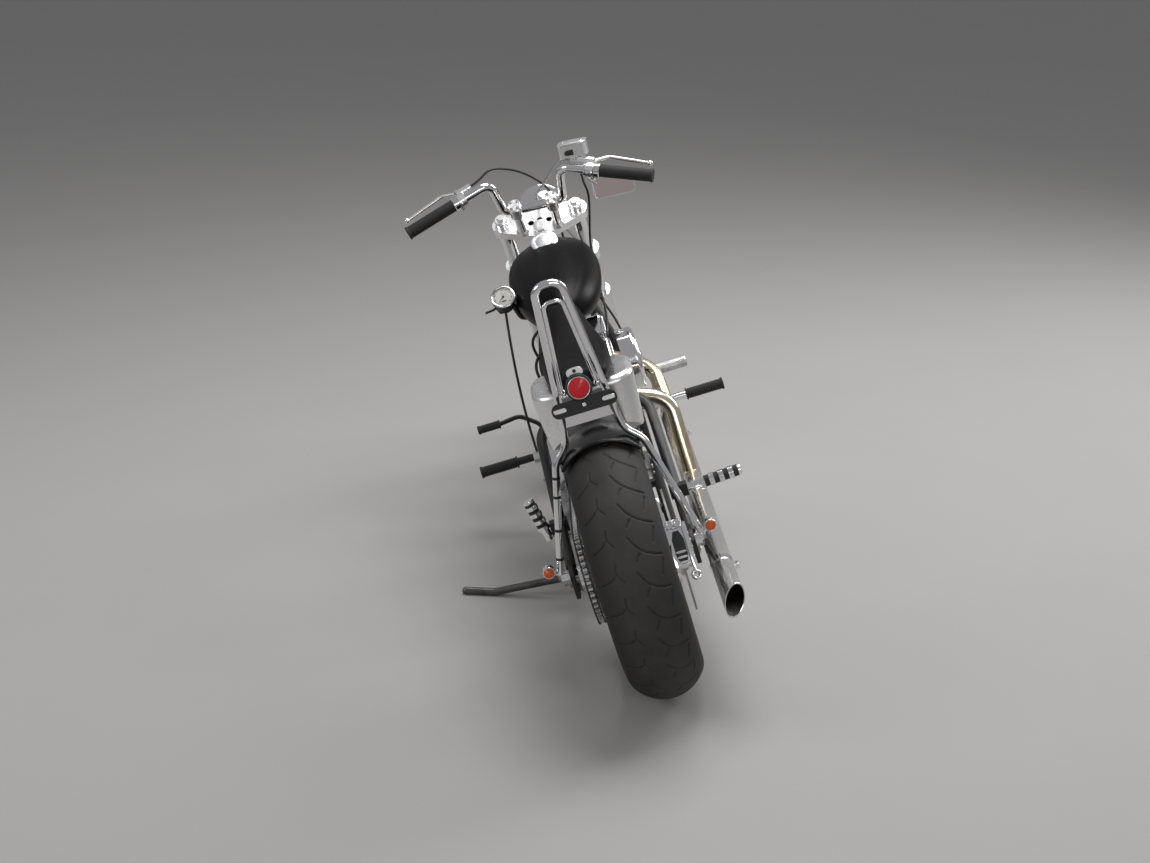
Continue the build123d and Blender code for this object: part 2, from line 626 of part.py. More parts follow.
# y from the seat tube, half width
seat_widths = [(-214, 50), (-196, 62), (-100, 82), (20, 82), (120, 56), (210, 34)]
seat_right = [(half, seat_tube_y + y) for y, half in seat_widths]
seat_left = [(-half, seat_tube_y + y) for y, half in reversed(seat_widths)]
seat_plan = make_face(Polyline(*seat_right, *seat_left, close=True))
seat = seat & Pos(0, 0, seat_floor - 20) * extrude(seat_plan, amount=200)
seat = seat - rod([backbone_top, tank_bend, seat_bend, seat_foot], backbone_diameter + 4 * fit_gap, [300, 90])
seat = seat - fuel_tank - fender
seat = seat.solids().sort_by(SortBy.VOLUME)[-1]
add("seat", seat)

# Fork: yokes, tubes, sliders
fork_x = fork_spacing / 2
top_face = yoke_thickness / 2


def fork_cylinder(x, forward, low, high, diameter):
    """A round bar along the fork between two heights."""
    return fork_plane(x, forward, low) * extrude(Circle(diameter / 2), amount=high - low)


def yoke(low, thickness, boss, centre):
    edges = (Pos(fork_x, yoke_offset) * Circle(boss)).edges() + (Pos(-fork_x, yoke_offset) * Circle(boss)).edges()
    edges += Circle(centre).edges()
    return fork_plane(0, 0, low) * extrude(make_hull(edges), amount=thickness)


tube_low = -axle_drop + slider_length - 90
fork_tube = fork_cylinder(fork_x, yoke_offset, tube_low, top_face + 2, fork_tube_diameter)
fork_cap = fork_cylinder(fork_x, yoke_offset, top_face + 2, top_face + fork_cap_height, fork_cap_diameter)
fork_leg = fork_tube + fork_cap
add("fork_tubes", both(fork_leg), steered=True)

slider_top = -axle_drop + slider_length
slider = fork_cylinder(fork_x, yoke_offset, -axle_drop - 20, slider_top, fork_slider_diameter)
slider += fork_cylinder(fork_x, yoke_offset, slider_top - 22, slider_top, fork_slider_diameter + 8)
slider_boss = fork_slider_diameter / 2 + 3
slider += bar_x(fork_x - slider_boss + 2, fork_x + slider_boss, wheelbase, front_tyre_radius, 46)
slider -= fork_cylinder(fork_x, yoke_offset, tube_low, slider_top, fork_tube_diameter)
slider -= bar_x(-200, 200, wheelbase, front_tyre_radius, front_axle_diameter)
add("fork_sliders", both(slider), steered=True)

top_yoke = yoke(-top_face, yoke_thickness, 31, 30)
stem_low = head_bottom - head_gap - lower_yoke_thickness
stem = fork_cylinder(0, 0, stem_low, -top_face, stem_diameter)
stem_nut = fork_plane(0, 0, top_face) * extrude(RegularPolygon(17, 6), amount=12)
top_yoke = top_yoke - both(fork_leg)
for x, forward in ((-26, 26), (0, 32), (26, 26)):
    top_yoke -= fork_cylinder(x, forward, -top_face, top_face, 17)
lower_yoke = yoke(stem_low, lower_yoke_thickness, 33, 34) - both(fork_leg)
add("yokes", top_yoke + stem_nut + lower_yoke + stem, steered=True)

# Risers and handlebar
clamp_along = top_face + riser_height
riser_x = riser_spacing / 2
riser = fork_cylinder(riser_x, 0, top_face, clamp_along - bar_diameter / 2, riser_diameter)
riser += Plane(origin=at_fork(riser_x - 15, 0, clamp_along), x_dir=(0, 1, 0), z_dir=(1, 0, 0)) * extrude(
    Circle(bar_diameter / 2 + 8), amount=30)

# x, forward, rise over the clamps for the bar's corners on one side
bar_corners = [(84, 0, 0), (98, 8, bar_rise), (336, -82, bar_rise - 20)]
bar_points = [at_fork(x, forward, clamp_along + rise) for x, forward, rise in bar_corners]
bar_half = rod([at_fork(0, 0, clamp_along)] + bar_points, bar_diameter, [28, 30])
handlebar = bar_half + mirrored(bar_half)
add("handlebar", handlebar + riser + mirrored(riser), steered=True)
grip_start = 0.42
grip_in, grip_out = bar_points[1], bar_points[2]
grip_line = grip_out - grip_in
grip_from = grip_in + grip_line * grip_start
grip_end = grip_out + grip_line.normalized() * 6
grip = rod([grip_from, grip_end], grip_diameter) - bar_half
add("grips", both(grip), steered=True)

# Brake master cylinder with its reservoir and lever, clutch perch and lever
grip_dir = grip_line.normalized()
body_low = grip_from - grip_dir * 70
body_high = grip_from - grip_dir * 6
fork_up = Vector(0, -rake_sin, rake_cos)
fork_ahead = Vector(0, rake_cos, rake_sin)
master_body = rod([body_low + fork_ahead * 30, body_high + fork_ahead * 30], 30)
master_clamp = rod([grip_from - grip_dir * 30, grip_from - grip_dir * 10], 40)
master_link = rod([grip_from - grip_dir * 20, grip_from - grip_dir * 20 + fork_ahead * 30], 16)
reservoir_centre = body_low + grip_dir * 14 + fork_ahead * 30 + Vector(0, 0, 32)
reservoir = Pos(reservoir_centre) * Rot(0, 0, -8) * Box(76, 48, 34)
reservoir = fillet(reservoir.edges().filter_by(Axis.Z), 7)
master = master_body + master_clamp + master_link + reservoir
master = master - handlebar
lever_root = body_high + fork_ahead * 34
brake_lever = rod([lever_root, lever_root + grip_dir * 46 + fork_ahead * 22,
                   grip_end + fork_ahead * 46 - grip_dir * 4], 10, [30])
brake_lever += Pos(grip_end + fork_ahead * 46 - grip_dir * 2) * Sphere(8)
add("brake_lever", brake_lever + master, steered=True)

perch = master_clamp + master_link + rod([body_low + grip_dir * 20 + fork_ahead * 30,
                                          body_high + fork_ahead * 30], 20)
perch -= handlebar
clutch_lever = rod([lever_root, lever_root + grip_dir * 46 + fork_ahead * 22,
                    grip_end + fork_ahead * 46 - grip_dir * 4], 10, [30])
clutch_lever += Pos(grip_end + fork_ahead * 46 - grip_dir * 2) * Sphere(8)
add("clutch_lever", mirrored(clutch_lever + perch), steered=True)

# Mirror under the right grip
mirror_root = grip_from - grip_dir * 36
mirror_centre = mirror_root + Vector(66, 26, -66)
mirror_plane = Plane(origin=mirror_centre, x_dir=(1, 0, 0), z_dir=(0, -1, 0.12))
mirror_head = extrude(mirror_plane * RectangleRounded(118, 62, 14), amount=-16)
mirror_clamp = rod([mirror_root, mirror_root + grip_dir * 4], 38) - handlebar
mirror_stem = rod([mirror_root + Vector(0, 0, -18), mirror_root + Vector(20, 30, -50),
                   mirror_centre + Vector(0, 12, 0)], 9, [18])
mirror_arm = (mirror_clamp + mirror_stem - master - handlebar).solids().sort_by(SortBy.VOLUME)[-1]
mirror_glass = extrude(mirror_plane * RectangleRounded(108, 52, 11), amount=2) - mirror_arm
add("mirror_head", mirror_head + mirror_arm, steered=True)
add("mirror_glass", mirror_glass, steered=True)

# Headlamp between the fork tubes
lamp_radius = 73.0
lamp_centre = at_fork(0, yoke_offset + 112, -95)
lamp_face = Plane(origin=lamp_centre, x_dir=(1, 0, 0), z_dir=(0, 1, -0.03))
shell_outline = [Line((0, 34), (lamp_radius, 34)), Line((lamp_radius, 34), (lamp_radius, 16)),
                 ThreePointArc((lamp_radius, 16), (lamp_radius * 0.72, -46), (0, -68)), Line((0, -68), (0, 34))]
shell = revolve(Plane.XZ * make_face(shell_outline), axis=Axis.Z)
lamp_glass = Pos(0, 0, 22) * Cylinder(lamp_radius - 6, 12)
shell = shell - Pos(0, 0, 25) * Cylinder(lamp_radius - 6, 18)
lamp_glass = Pos(0, 0, 22) * Cylinder(lamp_radius - 6 - fit_gap, 12)
lamp_bracket = rod([at_fork(0, yoke_offset + 26, stem_low + 16), lamp_centre + Vector(0, -20, -60)], 18)
headlamp = lamp_face * shell + lamp_bracket
headlamp = (headlamp - lower_yoke).solids().sort_by(SortBy.VOLUME)[-1]
add("headlamp", headlamp, steered=True)
add("headlamp_glass", lamp_face * lamp_glass, steered=True)

# Front caliper on the right slider
caliper_turn = 70.0
caliper_box = Pos(0, 0, front_disc_radius - 18) * Box(46, 92, 56)
caliper_box = Pos(front_disc_offset + 3, 0, 0) * caliper_box
caliper_slot = Pos(front_disc_offset, 0, 0) * Rot(0, 90, 0) * Cylinder(front_disc_radius + 6, disc_thickness + 10)
front_caliper = (caliper_box - caliper_slot).rotate(Axis.X, caliper_turn)
caliper_lug = Pos(fork_x - fork_slider_diameter / 2 + 4, 40, front_disc_radius - 34) * Box(12, 96, 44)
caliper_lug = caliper_lug.rotate(Axis.X, caliper_turn)
front_caliper = front_centre * (front_caliper + caliper_lug)
front_caliper = (front_caliper - slider).solids().sort_by(SortBy.VOLUME)[-1]
add("front_caliper", front_caliper, steered=True)

# Rear caliper on its polished carrier
rear_caliper_turn = 62.0
rear_block = Pos(rear_disc_offset, 0, rear_disc_radius - 16) * Box(46, 108, 58)
rear_slot = Pos(rear_disc_offset, 0, 0) * Rot(0, 90, 0) * Cylinder(rear_disc_radius + 6, disc_thickness + 11)
rear_caliper = fillet(rear_block.edges().filter_by(Axis.X), 10) - rear_slot
rear_caliper = rear_centre * rear_caliper.rotate(Axis.X, rear_caliper_turn)
carrier_low = rear_disc_offset + 22
carrier_high = axle_plate_offset - axle_plate_thickness / 2
carrier_face = make_hull((Circle(30)).edges() + (Pos(0, rear_disc_radius - 4) * Rectangle(96, 40)).edges())
carrier = Plane.YZ.offset(carrier_low) * extrude(carrier_face, amount=8)
carrier += bar_x(carrier_low, carrier_high, 0, 0, 44)
carrier = rear_centre * carrier.rotate(Axis.X, rear_caliper_turn) - axle_hole
add("rear_caliper", rear_caliper + carrier)

# Sissy bar: one tube up from the axle plates round the fender and over, an inner rod, a cross band
rail_foot = Vector(170, -34, rear_tyre_radius + 41)
rail_knee = Vector(rear_crown_radius + 6, -10, crown_z - 43)
rail_elbow = Vector(rear_crown_radius - 30, -8, crown_z - 8)
rail_waist = Vector(60, -12, crown_z + 47)
rail_corner = Vector(30, -104, crown_z + 391)
half_rail = [rail_foot, rail_knee, rail_elbow, rail_waist, rail_corner]
rail_points = half_rail + [Vector(-point.X, point.Y, point.Z) for point in reversed(half_rail)]
sissy_bar = rod(rail_points, rail_tube_diameter, [60, 55, 120, 28, 28, 120, 55, 60])
inner_foot = Vector(41, -31, crown_z + 123)
inner_corner = Vector(21, -95, crown_z + 347)
inner_points = [inner_foot, inner_corner, Vector(-inner_corner.X, inner_corner.Y, inner_corner.Z),
                Vector(-inner_foot.X, inner_foot.Y, inner_foot.Z)]
sissy_bar += rod(inner_points, 9, [16, 16])
band = Pos(0, -13, crown_z + 46) * Box(118, 8, 24)
band = fillet(band.edges().filter_by(Axis.Z), 3)
rail_shoe = Pos(161, -34, rear_tyre_radius + 29) * Rot(0, 90, 0) * Cylinder(13, 20)
sissy_bar += band
for side in (-1, 1):
    sissy_bar += Pos(side * inner_foot.X, inner_foot.Y, inner_foot.Z) * Sphere(8)
sissy_bar = sissy_bar + rail_shoe + mirrored(rail_shoe) - both(rear_stay) - fender
sissy_bar = sissy_bar.solids().sort_by(SortBy.VOLUME)[-1]
add("sissy_bar", sissy_bar)

# Tail lamp on its slotted bracket, behind the sissy bar
bracket_height = crown_z + 88
bracket_y = -50.0
bracket_face = RectangleRounded(150, 34, 16) - Circle(4)
for x in (-56, 56):
    bracket_face -= Pos(x, 0) * SlotOverall(30, 11)
lamp_plate_plane = Plane(origin=(0, bracket_y, bracket_height), x_dir=(1, 0, 0), z_dir=(0, -1, 0.2))
lamp_plate = extrude(lamp_plate_plane * bracket_face, amount=5)
for x in (-52, 52):
    lamp_plate += rod([Vector(x, bracket_y - 2, bracket_height - 4), Vector(x, -22, bracket_height - 4)], 8)
lamp_plate = lamp_plate - sissy_bar
lamp_plate = lamp_plate.solids().sort_by(SortBy.VOLUME)[-1]
add("tail_lamp_bracket", lamp_plate)
tail_height = bracket_height + 44
tail_plane = Plane(origin=(0, bracket_y, tail_height), x_dir=(1, 0, 0), z_dir=(0, -1, 0.2))
tail_case = extrude(tail_plane * Circle(29), amount=26)
tail_stalk = rod([Vector(0, bracket_y + 8, bracket_height - 4), Vector(0, bracket_y + 4, tail_height)], 12)
tail_tab = tail_plane * Pos(0, 30, 2) * extrude(RectangleRounded(40, 28, 10) - Pos(0, 4) * Circle(4), amount=3)
tail_case = (tail_case + tail_stalk + tail_tab - lamp_plate).solids().sort_by(SortBy.VOLUME)[-1]
tail_lens = tail_plane * Pos(0, 0, 26) * extrude(Circle(23), amount=9)
add("tail_lamp", tail_case)
add("tail_lens", tail_lens)

# Rear indicators beside the rails' feet
blinker_centre = Vector(193, -52, rear_tyre_radius + 60)
blinker = revolve(Plane(origin=blinker_centre, x_dir=(1, 0, 0), z_dir=(0, 0, 1)) * make_face(
    [Line((0, 0), (14, 0)), Line((14, 0), (14, 8)), ThreePointArc((14, 8), (9, 26), (0, 34)), Line((0, 34), (0, 0))]),
    axis=Axis(blinker_centre, (0, 1, 0)))
blinker += rod([blinker_centre + Vector(-2, 14, 0), Vector(166, -34, rear_tyre_radius + 33)], 9)
blinker = (blinker - sissy_bar - both(rear_stay)).solids().sort_by(SortBy.VOLUME)[-1]
add("indicators", both(blinker))
amber = Plane(origin=blinker_centre, x_dir=(1, 0, 0), z_dir=(0, -1, 0)) * extrude(Circle(12), amount=6)
add("indicator_lenses", both(amber))

# Forward controls: plates on the down tubes carry pegs, shifter and brake pedal
control_z = crank_z - 10
tube_share = (control_z - rail_height) / (down_mid.Z - rail_height)
control_y = down_foot.Y + (down_mid.Y - down_foot.Y) * tube_share + 8
peg_inner = 258.0
peg_outer = 370.0
plate_side = cradle_half_width + 26
lever_side = plate_side + 26
control_plates = []
pegs = []
# side, peg's y from the plate's bolt, peg's height over it
for side, back, rise in ((-1, -104, 4), (1, -60, 38)):
    peg_y = control_y + back
    peg_z = control_z + rise
    plate_edges = (Pos(control_y - 4, control_z + 6) * Circle(26)).edges() + (Pos(peg_y, peg_z) * Circle(20)).edges()
    control_plate = extrude(Plane.YZ.offset(-plate_side) * make_hull(plate_edges), amount=14)
    control_plate += bar_x(-peg_inner, -plate_side, peg_y, peg_z, 22)
    control_plate += bar_x(-plate_side - 18, -plate_side, control_y, control_z, 30)
    peg = bar_x(-peg_outer, -peg_inner, peg_y, peg_z, 30)
    peg += bar_x(-peg_outer, -peg_outer + 6, peg_y, peg_z, 35)
    if side > 0:
        control_plate = mirrored(control_plate)
        peg = mirrored(peg)
    control_plates.append(control_plate - cradle)
    pegs.append(peg)
shift_tip = Vector(-282, control_y - 10, control_z + 97)
shifter = rod([(-lever_side, control_y, control_z), (-lever_side - 8, control_y + 18, control_z + 52),
               (-lever_side - 58, control_y + 6, control_z + 98), shift_tip], 13, [30, 40])
shifter += bar_x(-lever_side - 8, -plate_side - 18, control_y, control_z, 24)
add("left_control", shifter + control_plates[0])
shift_rubber = rod([shift_tip + Vector(2, 0, 0), shift_tip + Vector(-68, 0, 0)], 24)
shift_rubber = (shift_rubber - shifter).solids().sort_by(SortBy.VOLUME)[-1]
add("peg_rubbers", Compound([pegs[0], pegs[1], shift_rubber]))
pad_inner = Vector(196, control_y, control_z + 116)
pedal = rod([(lever_side, control_y, control_z), (lever_side + 8, control_y + 18, control_z + 52),
             pad_inner + Vector(18, 0, -4)], 13, [40])
pedal += bar_x(plate_side + 18, lever_side + 8, control_y, control_z, 24)
pedal += rod([pad_inner, pad_inner + Vector(92, 0, 0)], 30)
add("right_control", pedal + control_plates[1])

# Passenger pegs: the right one is down, the left one is folded up
ear_y = passenger_y
peg_root = Vector(stay_side + 12 + 3 * fit_gap, ear_y, passenger_z)
passenger_right = rod([peg_root, peg_root + Vector(118, 0, 6)], 22)
for step in range(4):
    ring = peg_root + Vector(30 + step * 24, 0, (30 + step * 24) * 0.05)
    passenger_right += rod([ring, ring + Vector(12, 0, 0.6)], 31)
left_root = Vector(-stay_side - 12 - fit_gap - 8.8, ear_y, passenger_z - 26)
passenger_left = rod([left_root, left_root + Vector(-22, 6, 100)], 22)
for step in range(4):
    ring = left_root + Vector(-22, 6, 100) * (0.28 + 0.19 * step)
    passenger_left += rod([ring, ring + Vector(-2, 0.5, 10)], 31)
add("passenger_pegs", Compound([passenger_right, passenger_left]))

# Speedometer beside the tank
dial_centre = Vector(-146, crank_y + 12, crank_z + 512)
dial_plane = Plane(origin=dial_centre, x_dir=(1, 0, 0), z_dir=(0.1, -0.72, 0.7))
dial_case = dial_plane * Pos(0, 0, -26) * extrude(Circle(27), amount=40)
dial_case += dial_plane * Pos(0, 0, 2) * extrude(Circle(32), amount=12)
dial_glass = dial_plane * Pos(0, 0, 14) * extrude(Circle(28), amount=2)
add("speedometer", dial_case)
add("speedometer_glass", dial_glass)
holder_foot = vee_plane(1, rocker_start + rocker_height) * Pos(-30, 0, 0)
holder = rod([holder_foot.position, holder_foot.position + Vector(-10, 0, 34),
              dial_centre + Vector(30, 22, -66), dial_centre + Vector(17, 14, -16)], 14, [20, 24])
holder = holder - rockers[0] - dial_case - fuel_tank
holder = holder.solids().sort_by(SortBy.VOLUME)[-1]
add("speedometer_bracket", holder)

# Cables and hose: straight runs joined by arcs as large as the runs allow


def turned(point):
    """Where a point of the fork lies with the steering turned."""
    return Vertex(point.X, point.Y, point.Z).rotate(steer_axis, steer_turn).center()


def cable(points, diameter):
    radii = []
    for before, corner, after in zip(points, points[1:], points[2:]):
        turn = radians((corner - before).get_angle(after - corner))
        shorter = min((corner - before).length, (after - corner).length)
        radii.append(0.45 * shorter / tan(turn / 2))
    print("cable radii", [round(radius) for radius in radii])
    return rod(points, diameter, radii)


perch_end = body_low + grip_dir * 20 + fork_ahead * 30
perch_end = turned(Vector(-perch_end.X, perch_end.Y, perch_end.Z))
perch_out = turned(at_fork(0, 0, 0) + Vector(grip_dir.X, -grip_dir.Y, -grip_dir.Z)) - at_fork(0, 0, 0)
head_place = at_fork(0, 0, 0)


def from_head(x, y, z):
    return head_place + Vector(x, y, z)


clutch_points = [perch_end, perch_end + perch_out * 24, from_head(-92, -84, 226),
                 from_head(-62, -74, 222), from_head(-6, -50, 190), from_head(42, -20, 134),
                 at_fork(58, 86, 40), at_fork(58, 86, -20), at_fork(50, 40, -78), at_fork(54, -10, -120),
                 from_head(80, 36, -172), from_head(106, 22, -250), from_head(132, 10, -330),
                 Vector(140, crank_y + 318, crank_z + 182), Vector(136, crank_y + 272, crank_z + 126),
                 Vector(124, crank_y + 196, crank_z + 108), Vector(112, crank_y + 96, crank_z + 114),
                 Vector(108, crank_y, crank_z + 126), Vector(102, crank_y - 92, crank_z + 130),
                 Vector(74, crank_y - 150, crank_z + 122), Vector(62, crank_y - 164, gearbox_z + 90)]
throttle_start = turned(grip_from - grip_dir * 52 + fork_ahead * 30 - fork_up * 15.3)
throttle_points = [throttle_start, throttle_start - fork_up * 24, from_head(150, -72, 112),
                   from_head(156, -58, 78), from_head(141, -44, 14), from_head(122, -24, -56),
                   from_head(112, -50, -122), from_head(110, -128, -182), Vector(108, crank_y + 124, crank_z + 374),
                   Vector(100, crank_y + 46, crank_z + 352), Vector(86, crank_y + 6, crank_z + 318),
                   Vector(80, crank_y, carb_z + 19.5)]
control_cables = [cable(clutch_points, control_cable_diameter), cable(throttle_points, control_cable_diameter)]
add("control_cables", Compound([control_cables[0] - gearbox, control_cables[1] - carb]))

caliper_mouth = Vector(70, 46, front_disc_radius - 18).rotate(Axis.X, caliper_turn)
caliper_mouth += Vector(0, wheelbase, front_tyre_radius)
caliper_lead = Vector(0, 1, 0).rotate(Axis.X, caliper_turn)
hose_start = body_low + fork_ahead * 30
hose_points = [hose_start, hose_start - grip_dir * 26, from_head(84, -86, 190),
               from_head(46, -60, 148), from_head(14, -32, 112), at_fork(2, 86, 50), at_fork(8, 86, -10),
               at_fork(34, 87, -70), at_fork(66, 92, -132), at_fork(80, 96, -200), at_fork(80, 72, -264),
               at_fork(76, 34, -330), at_fork(71, 18, -410), at_fork(68, 22, -480),
               caliper_mouth + caliper_lead * 40, caliper_mouth]
add("brake_hose", cable(hose_points, hose_diameter), steered=True)

dial_back = (dial_plane * Pos(0, 0, -26)).position
dial_down = dial_back - dial_centre
dial_down = dial_down.normalized()
meter_points = [dial_back, dial_back + dial_down * 22, dial_back + Vector(-8, 8, -50),
                Vector(-163, crank_y + 16, crank_z + 398), Vector(-173, crank_y + 4, crank_z + 318),
                Vector(-180, crank_y - 4, crank_z + 236), Vector(-184, crank_y - 10, crank_z + 160),
                Vector(meter_drive.X, meter_drive.Y, crank_z + 112),
                Vector(meter_drive.X, meter_drive.Y, meter_drive.Z + 16.6)]
meter_cable = cable(meter_points, meter_cable_diameter) - primary
add("speedometer_cable", meter_cable)

# Lean and pitch: the pitch puts both tyres on the floor
rear_height = (rear_tyre_radius - rear_crown_radius) * cos(radians(lean)) + rear_crown_radius
front_hub = Vertex(0, wheelbase, front_tyre_radius).rotate(steer_axis, steer_turn).center()
front_side = Vertex(1, wheelbase, front_tyre_radius).rotate(steer_axis, steer_turn).center()


def stance_for(pitch):
    """The machine's place on the floor: pitched about the rear axle, leaned to the left, lifted."""
    return Pos(0, 0, rear_height) * Rot(0, -lean, 0) * Rot(pitch, 0, 0) * Pos(0, 0, -rear_tyre_radius)


def front_error(pitch):
    """How far the front tyre stands above the floor at a pitch."""
    hub = (stance_for(pitch) * Pos(front_hub)).position
    beside = (stance_for(pitch) * Pos(front_side)).position
    ring = front_tyre_radius - front_crown_radius
    return hub.Z - ring * sqrt(1 - (beside.Z - hub.Z) ** 2) - front_crown_radius


pitch = 0.0
step = 0.5
for _ in range(4):
    slope = (front_error(pitch + step) - front_error(pitch)) / step
    pitch -= front_error(pitch) / slope
stance = stance_for(pitch)
add("frame_cradle", cradle)
for node in list(pieces):
    pieces[node] = stance * pieces[node]

# Side stand, drawn on the leaned machine: an eye under the left rail and a leg to the floor
leg_diameter = 20.0
stand_pin_diameter = 12.0
stand_eye_height = 24.0
pivot = (stance * Pos(-cradle_half_width - 4, 470, rail_height - down_tube_diameter / 2 - 22)).position
leg_bend = Vector(-318, 508, leg_diameter / 2)
leg_tip = Vector(-396, 522, leg_diameter / 2)
leg_direction = (leg_bend - pivot).normalized()
folded_direction = (stance * Pos(0, -1, 0)).position - stance.position
stand_hinge = leg_direction.cross(folded_direction).normalized()
stand_swing = leg_direction.get_angle(folded_direction)
eye_plane = Plane(origin=pivot, x_dir=leg_direction, z_dir=stand_hinge)


def stand_disc(low, high, diameter):
    return eye_plane * Pos(0, 0, low) * extrude(Circle(diameter / 2), amount=high - low)


half_eye = stand_eye_height / 2
eye_bore = stand_disc(-half_eye - 1, half_eye + 1, stand_pin_diameter + 0.8)
leg = rod([pivot, leg_bend, leg_tip], leg_diameter, [40])
leg = leg + stand_disc(-half_eye, half_eye, 34) - eye_bore
toe = Pos(leg_tip) * Sphere(leg_diameter / 2)
stand_lug = stand_disc(half_eye + 1, half_eye + 34, 36) + stand_disc(-half_eye - 6, half_eye + 1, stand_pin_diameter)
stand_lug += stand_disc(-half_eye - 7, -half_eye - 1, 22)
pieces["side_stand"] = leg + toe
pieces["frame_cradle"] = pieces["frame_cradle"] + stand_lug

# Origin: on the floor, under the middle of the machine's box
box = Compound(list(pieces.values())).bounding_box()
shift = Pos(-(box.min.X + box.max.X) / 2, -(box.min.Y + box.max.Y) / 2, 0)

os.makedirs("parts", exist_ok=True)
for node, shape in pieces.items():
    export_step(shift * shape, f"parts/{node}.step")


def place_of(point, direction):
    """A point and a direction of the upright machine, in metres in the finished frame."""
    whole = shift * stance
    start = (whole * Pos(*point)).position
    end = (whole * Pos(*(Vector(*point) + Vector(*direction)))).position
    return [round(value / 1000, 6) for value in start], [round(value, 6) for value in end - start]


bar_middle = turned(at_fork(0, 0, clamp_along))
bar_side = turned(at_fork(1, 0, clamp_along))
rail_lean = (rail_corner - rail_waist).normalized()
grip_spot = rail_waist + rail_lean * 90
print("steering", *place_of((0, head_y, yoke_height), (0, -rake_sin, rake_cos)))
print("rear_spin", *place_of((0, 0, rear_tyre_radius), (1, 0, 0)))
print("front_spin", *place_of(front_hub, front_side - front_hub))
print("stand", [round(value / 1000, 6) for value in (shift * Pos(pivot)).position], [round(value, 6) for value in stand_hinge], round(stand_swing, 2))
print("mount_bar", *place_of(bar_middle, bar_side - bar_middle))
axle_spot = (axle_shoulder + axle_tip) / 2
print("mount_axle_right", *place_of((axle_spot, 0, rear_tyre_radius), (1, 0, 0)), rear_axle_end_diameter / 2, rear_axle_end_length)
print("mount_axle_left", *place_of((-axle_spot, 0, rear_tyre_radius), (-1, 0, 0)), rear_axle_end_diameter / 2, rear_axle_end_length)
plate_hole = (tail_plane * Pos(0, 34, 3.5)).position
print("mount_plate", *place_of(plate_hole, tail_plane.z_dir), 4.0, 3.0)
print("mount_rail_right", *place_of(grip_spot, rail_lean))
print("mount_rail_left", *place_of((-grip_spot.X, grip_spot.Y, grip_spot.Z), (-rail_lean.X, rail_lean.Y, rail_lean.Z)))
for height in (206, 256, 300):
    print("loop", *place_of((0, -12 - (height - 47) * 0.267, crown_z + height), (0, 0, 1)))
print("box", box.min, box.max, "pitch", pitch, shift.position)
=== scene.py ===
import json
import math

import bmesh
import bpy
import numpy as np
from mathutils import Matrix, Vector


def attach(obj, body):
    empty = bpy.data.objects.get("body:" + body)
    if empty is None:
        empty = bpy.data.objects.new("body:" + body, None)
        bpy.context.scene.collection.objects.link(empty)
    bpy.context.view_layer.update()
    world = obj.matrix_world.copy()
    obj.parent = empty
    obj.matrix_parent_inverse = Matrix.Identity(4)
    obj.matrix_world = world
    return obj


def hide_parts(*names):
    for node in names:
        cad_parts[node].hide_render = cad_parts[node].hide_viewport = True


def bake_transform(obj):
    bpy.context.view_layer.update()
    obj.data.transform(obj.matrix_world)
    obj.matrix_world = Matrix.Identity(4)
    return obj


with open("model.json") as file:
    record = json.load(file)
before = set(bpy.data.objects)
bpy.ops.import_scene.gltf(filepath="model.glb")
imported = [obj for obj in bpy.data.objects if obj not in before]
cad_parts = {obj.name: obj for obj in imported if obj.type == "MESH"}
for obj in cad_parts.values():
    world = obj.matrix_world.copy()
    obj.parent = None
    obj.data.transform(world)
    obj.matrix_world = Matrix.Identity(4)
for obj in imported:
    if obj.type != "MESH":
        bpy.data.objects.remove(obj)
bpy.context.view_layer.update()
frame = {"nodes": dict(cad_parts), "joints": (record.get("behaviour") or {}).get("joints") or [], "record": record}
nodes = frame["nodes"]
joints = {joint["name"]: joint for joint in frame["joints"]}
scene = bpy.context.scene
mm = 0.001

# The upright machine in millimetres: x to the right, y forward, z up from the floor under the rear axle
machine = {"rearRadius": 325.0, "frontRadius": 338.0, "rearRim": 206.0, "frontRim": 269.0,
           "wheelbase": 1530.0, "rake": 35.0, "yokeHeight": 885.0, "yokeOffset": 45.0,
           "steerTurn": -5.0, "clampAlong": 109.0, "crankY": 760.0, "crankZ": 300.0, "gearboxY": 556.0,
           "gearboxZ": 304.0, "controlY": 1048.4, "controlZ": 290.0, "seatTubeY": 402.0, "crownZ": 665.0,
           "capY": 938.0, "capZ": 888.0}
controlY, controlZ, seatTubeY, crownZ, clampAlong = (machine[key] for key in (
    "controlY", "controlZ", "seatTubeY", "crownZ", "clampAlong"))
rakeAngle = math.radians(machine["rake"])
rakeSin, rakeCos = math.sin(rakeAngle), math.cos(rakeAngle)
rearAxle = np.array([0.0, 0.0, machine["rearRadius"]])
frontAxle = np.array([0.0, machine["wheelbase"], machine["frontRadius"]])
crank = np.array([0.0, machine["crankY"], machine["crankZ"]])
gearbox = np.array([0.0, machine["gearboxY"], machine["gearboxZ"]])

# It leans to its left: upright axes, with the origin on the rear axle's middle
rearHub = Vector(joints["rear_wheel_spin"]["pos_m"])
rightWay = Vector(joints["rear_wheel_spin"]["axis"]).normalized()
headWay = Vector(joints["steering"]["axis"]).normalized()
levelWay = headWay.cross(rightWay).normalized()
forwardWay = levelWay * rakeCos - headWay * rakeSin
upWay = levelWay * rakeSin + headWay * rakeCos
stanceAxes = np.array([rightWay, forwardWay, upWay])


# From machine millimetres to the frame: the upright axes turned to the stance, plus the hub
def place(points):
    return (np.asarray(points, float) - rearAxle) * mm @ stanceAxes + np.array(rearHub)


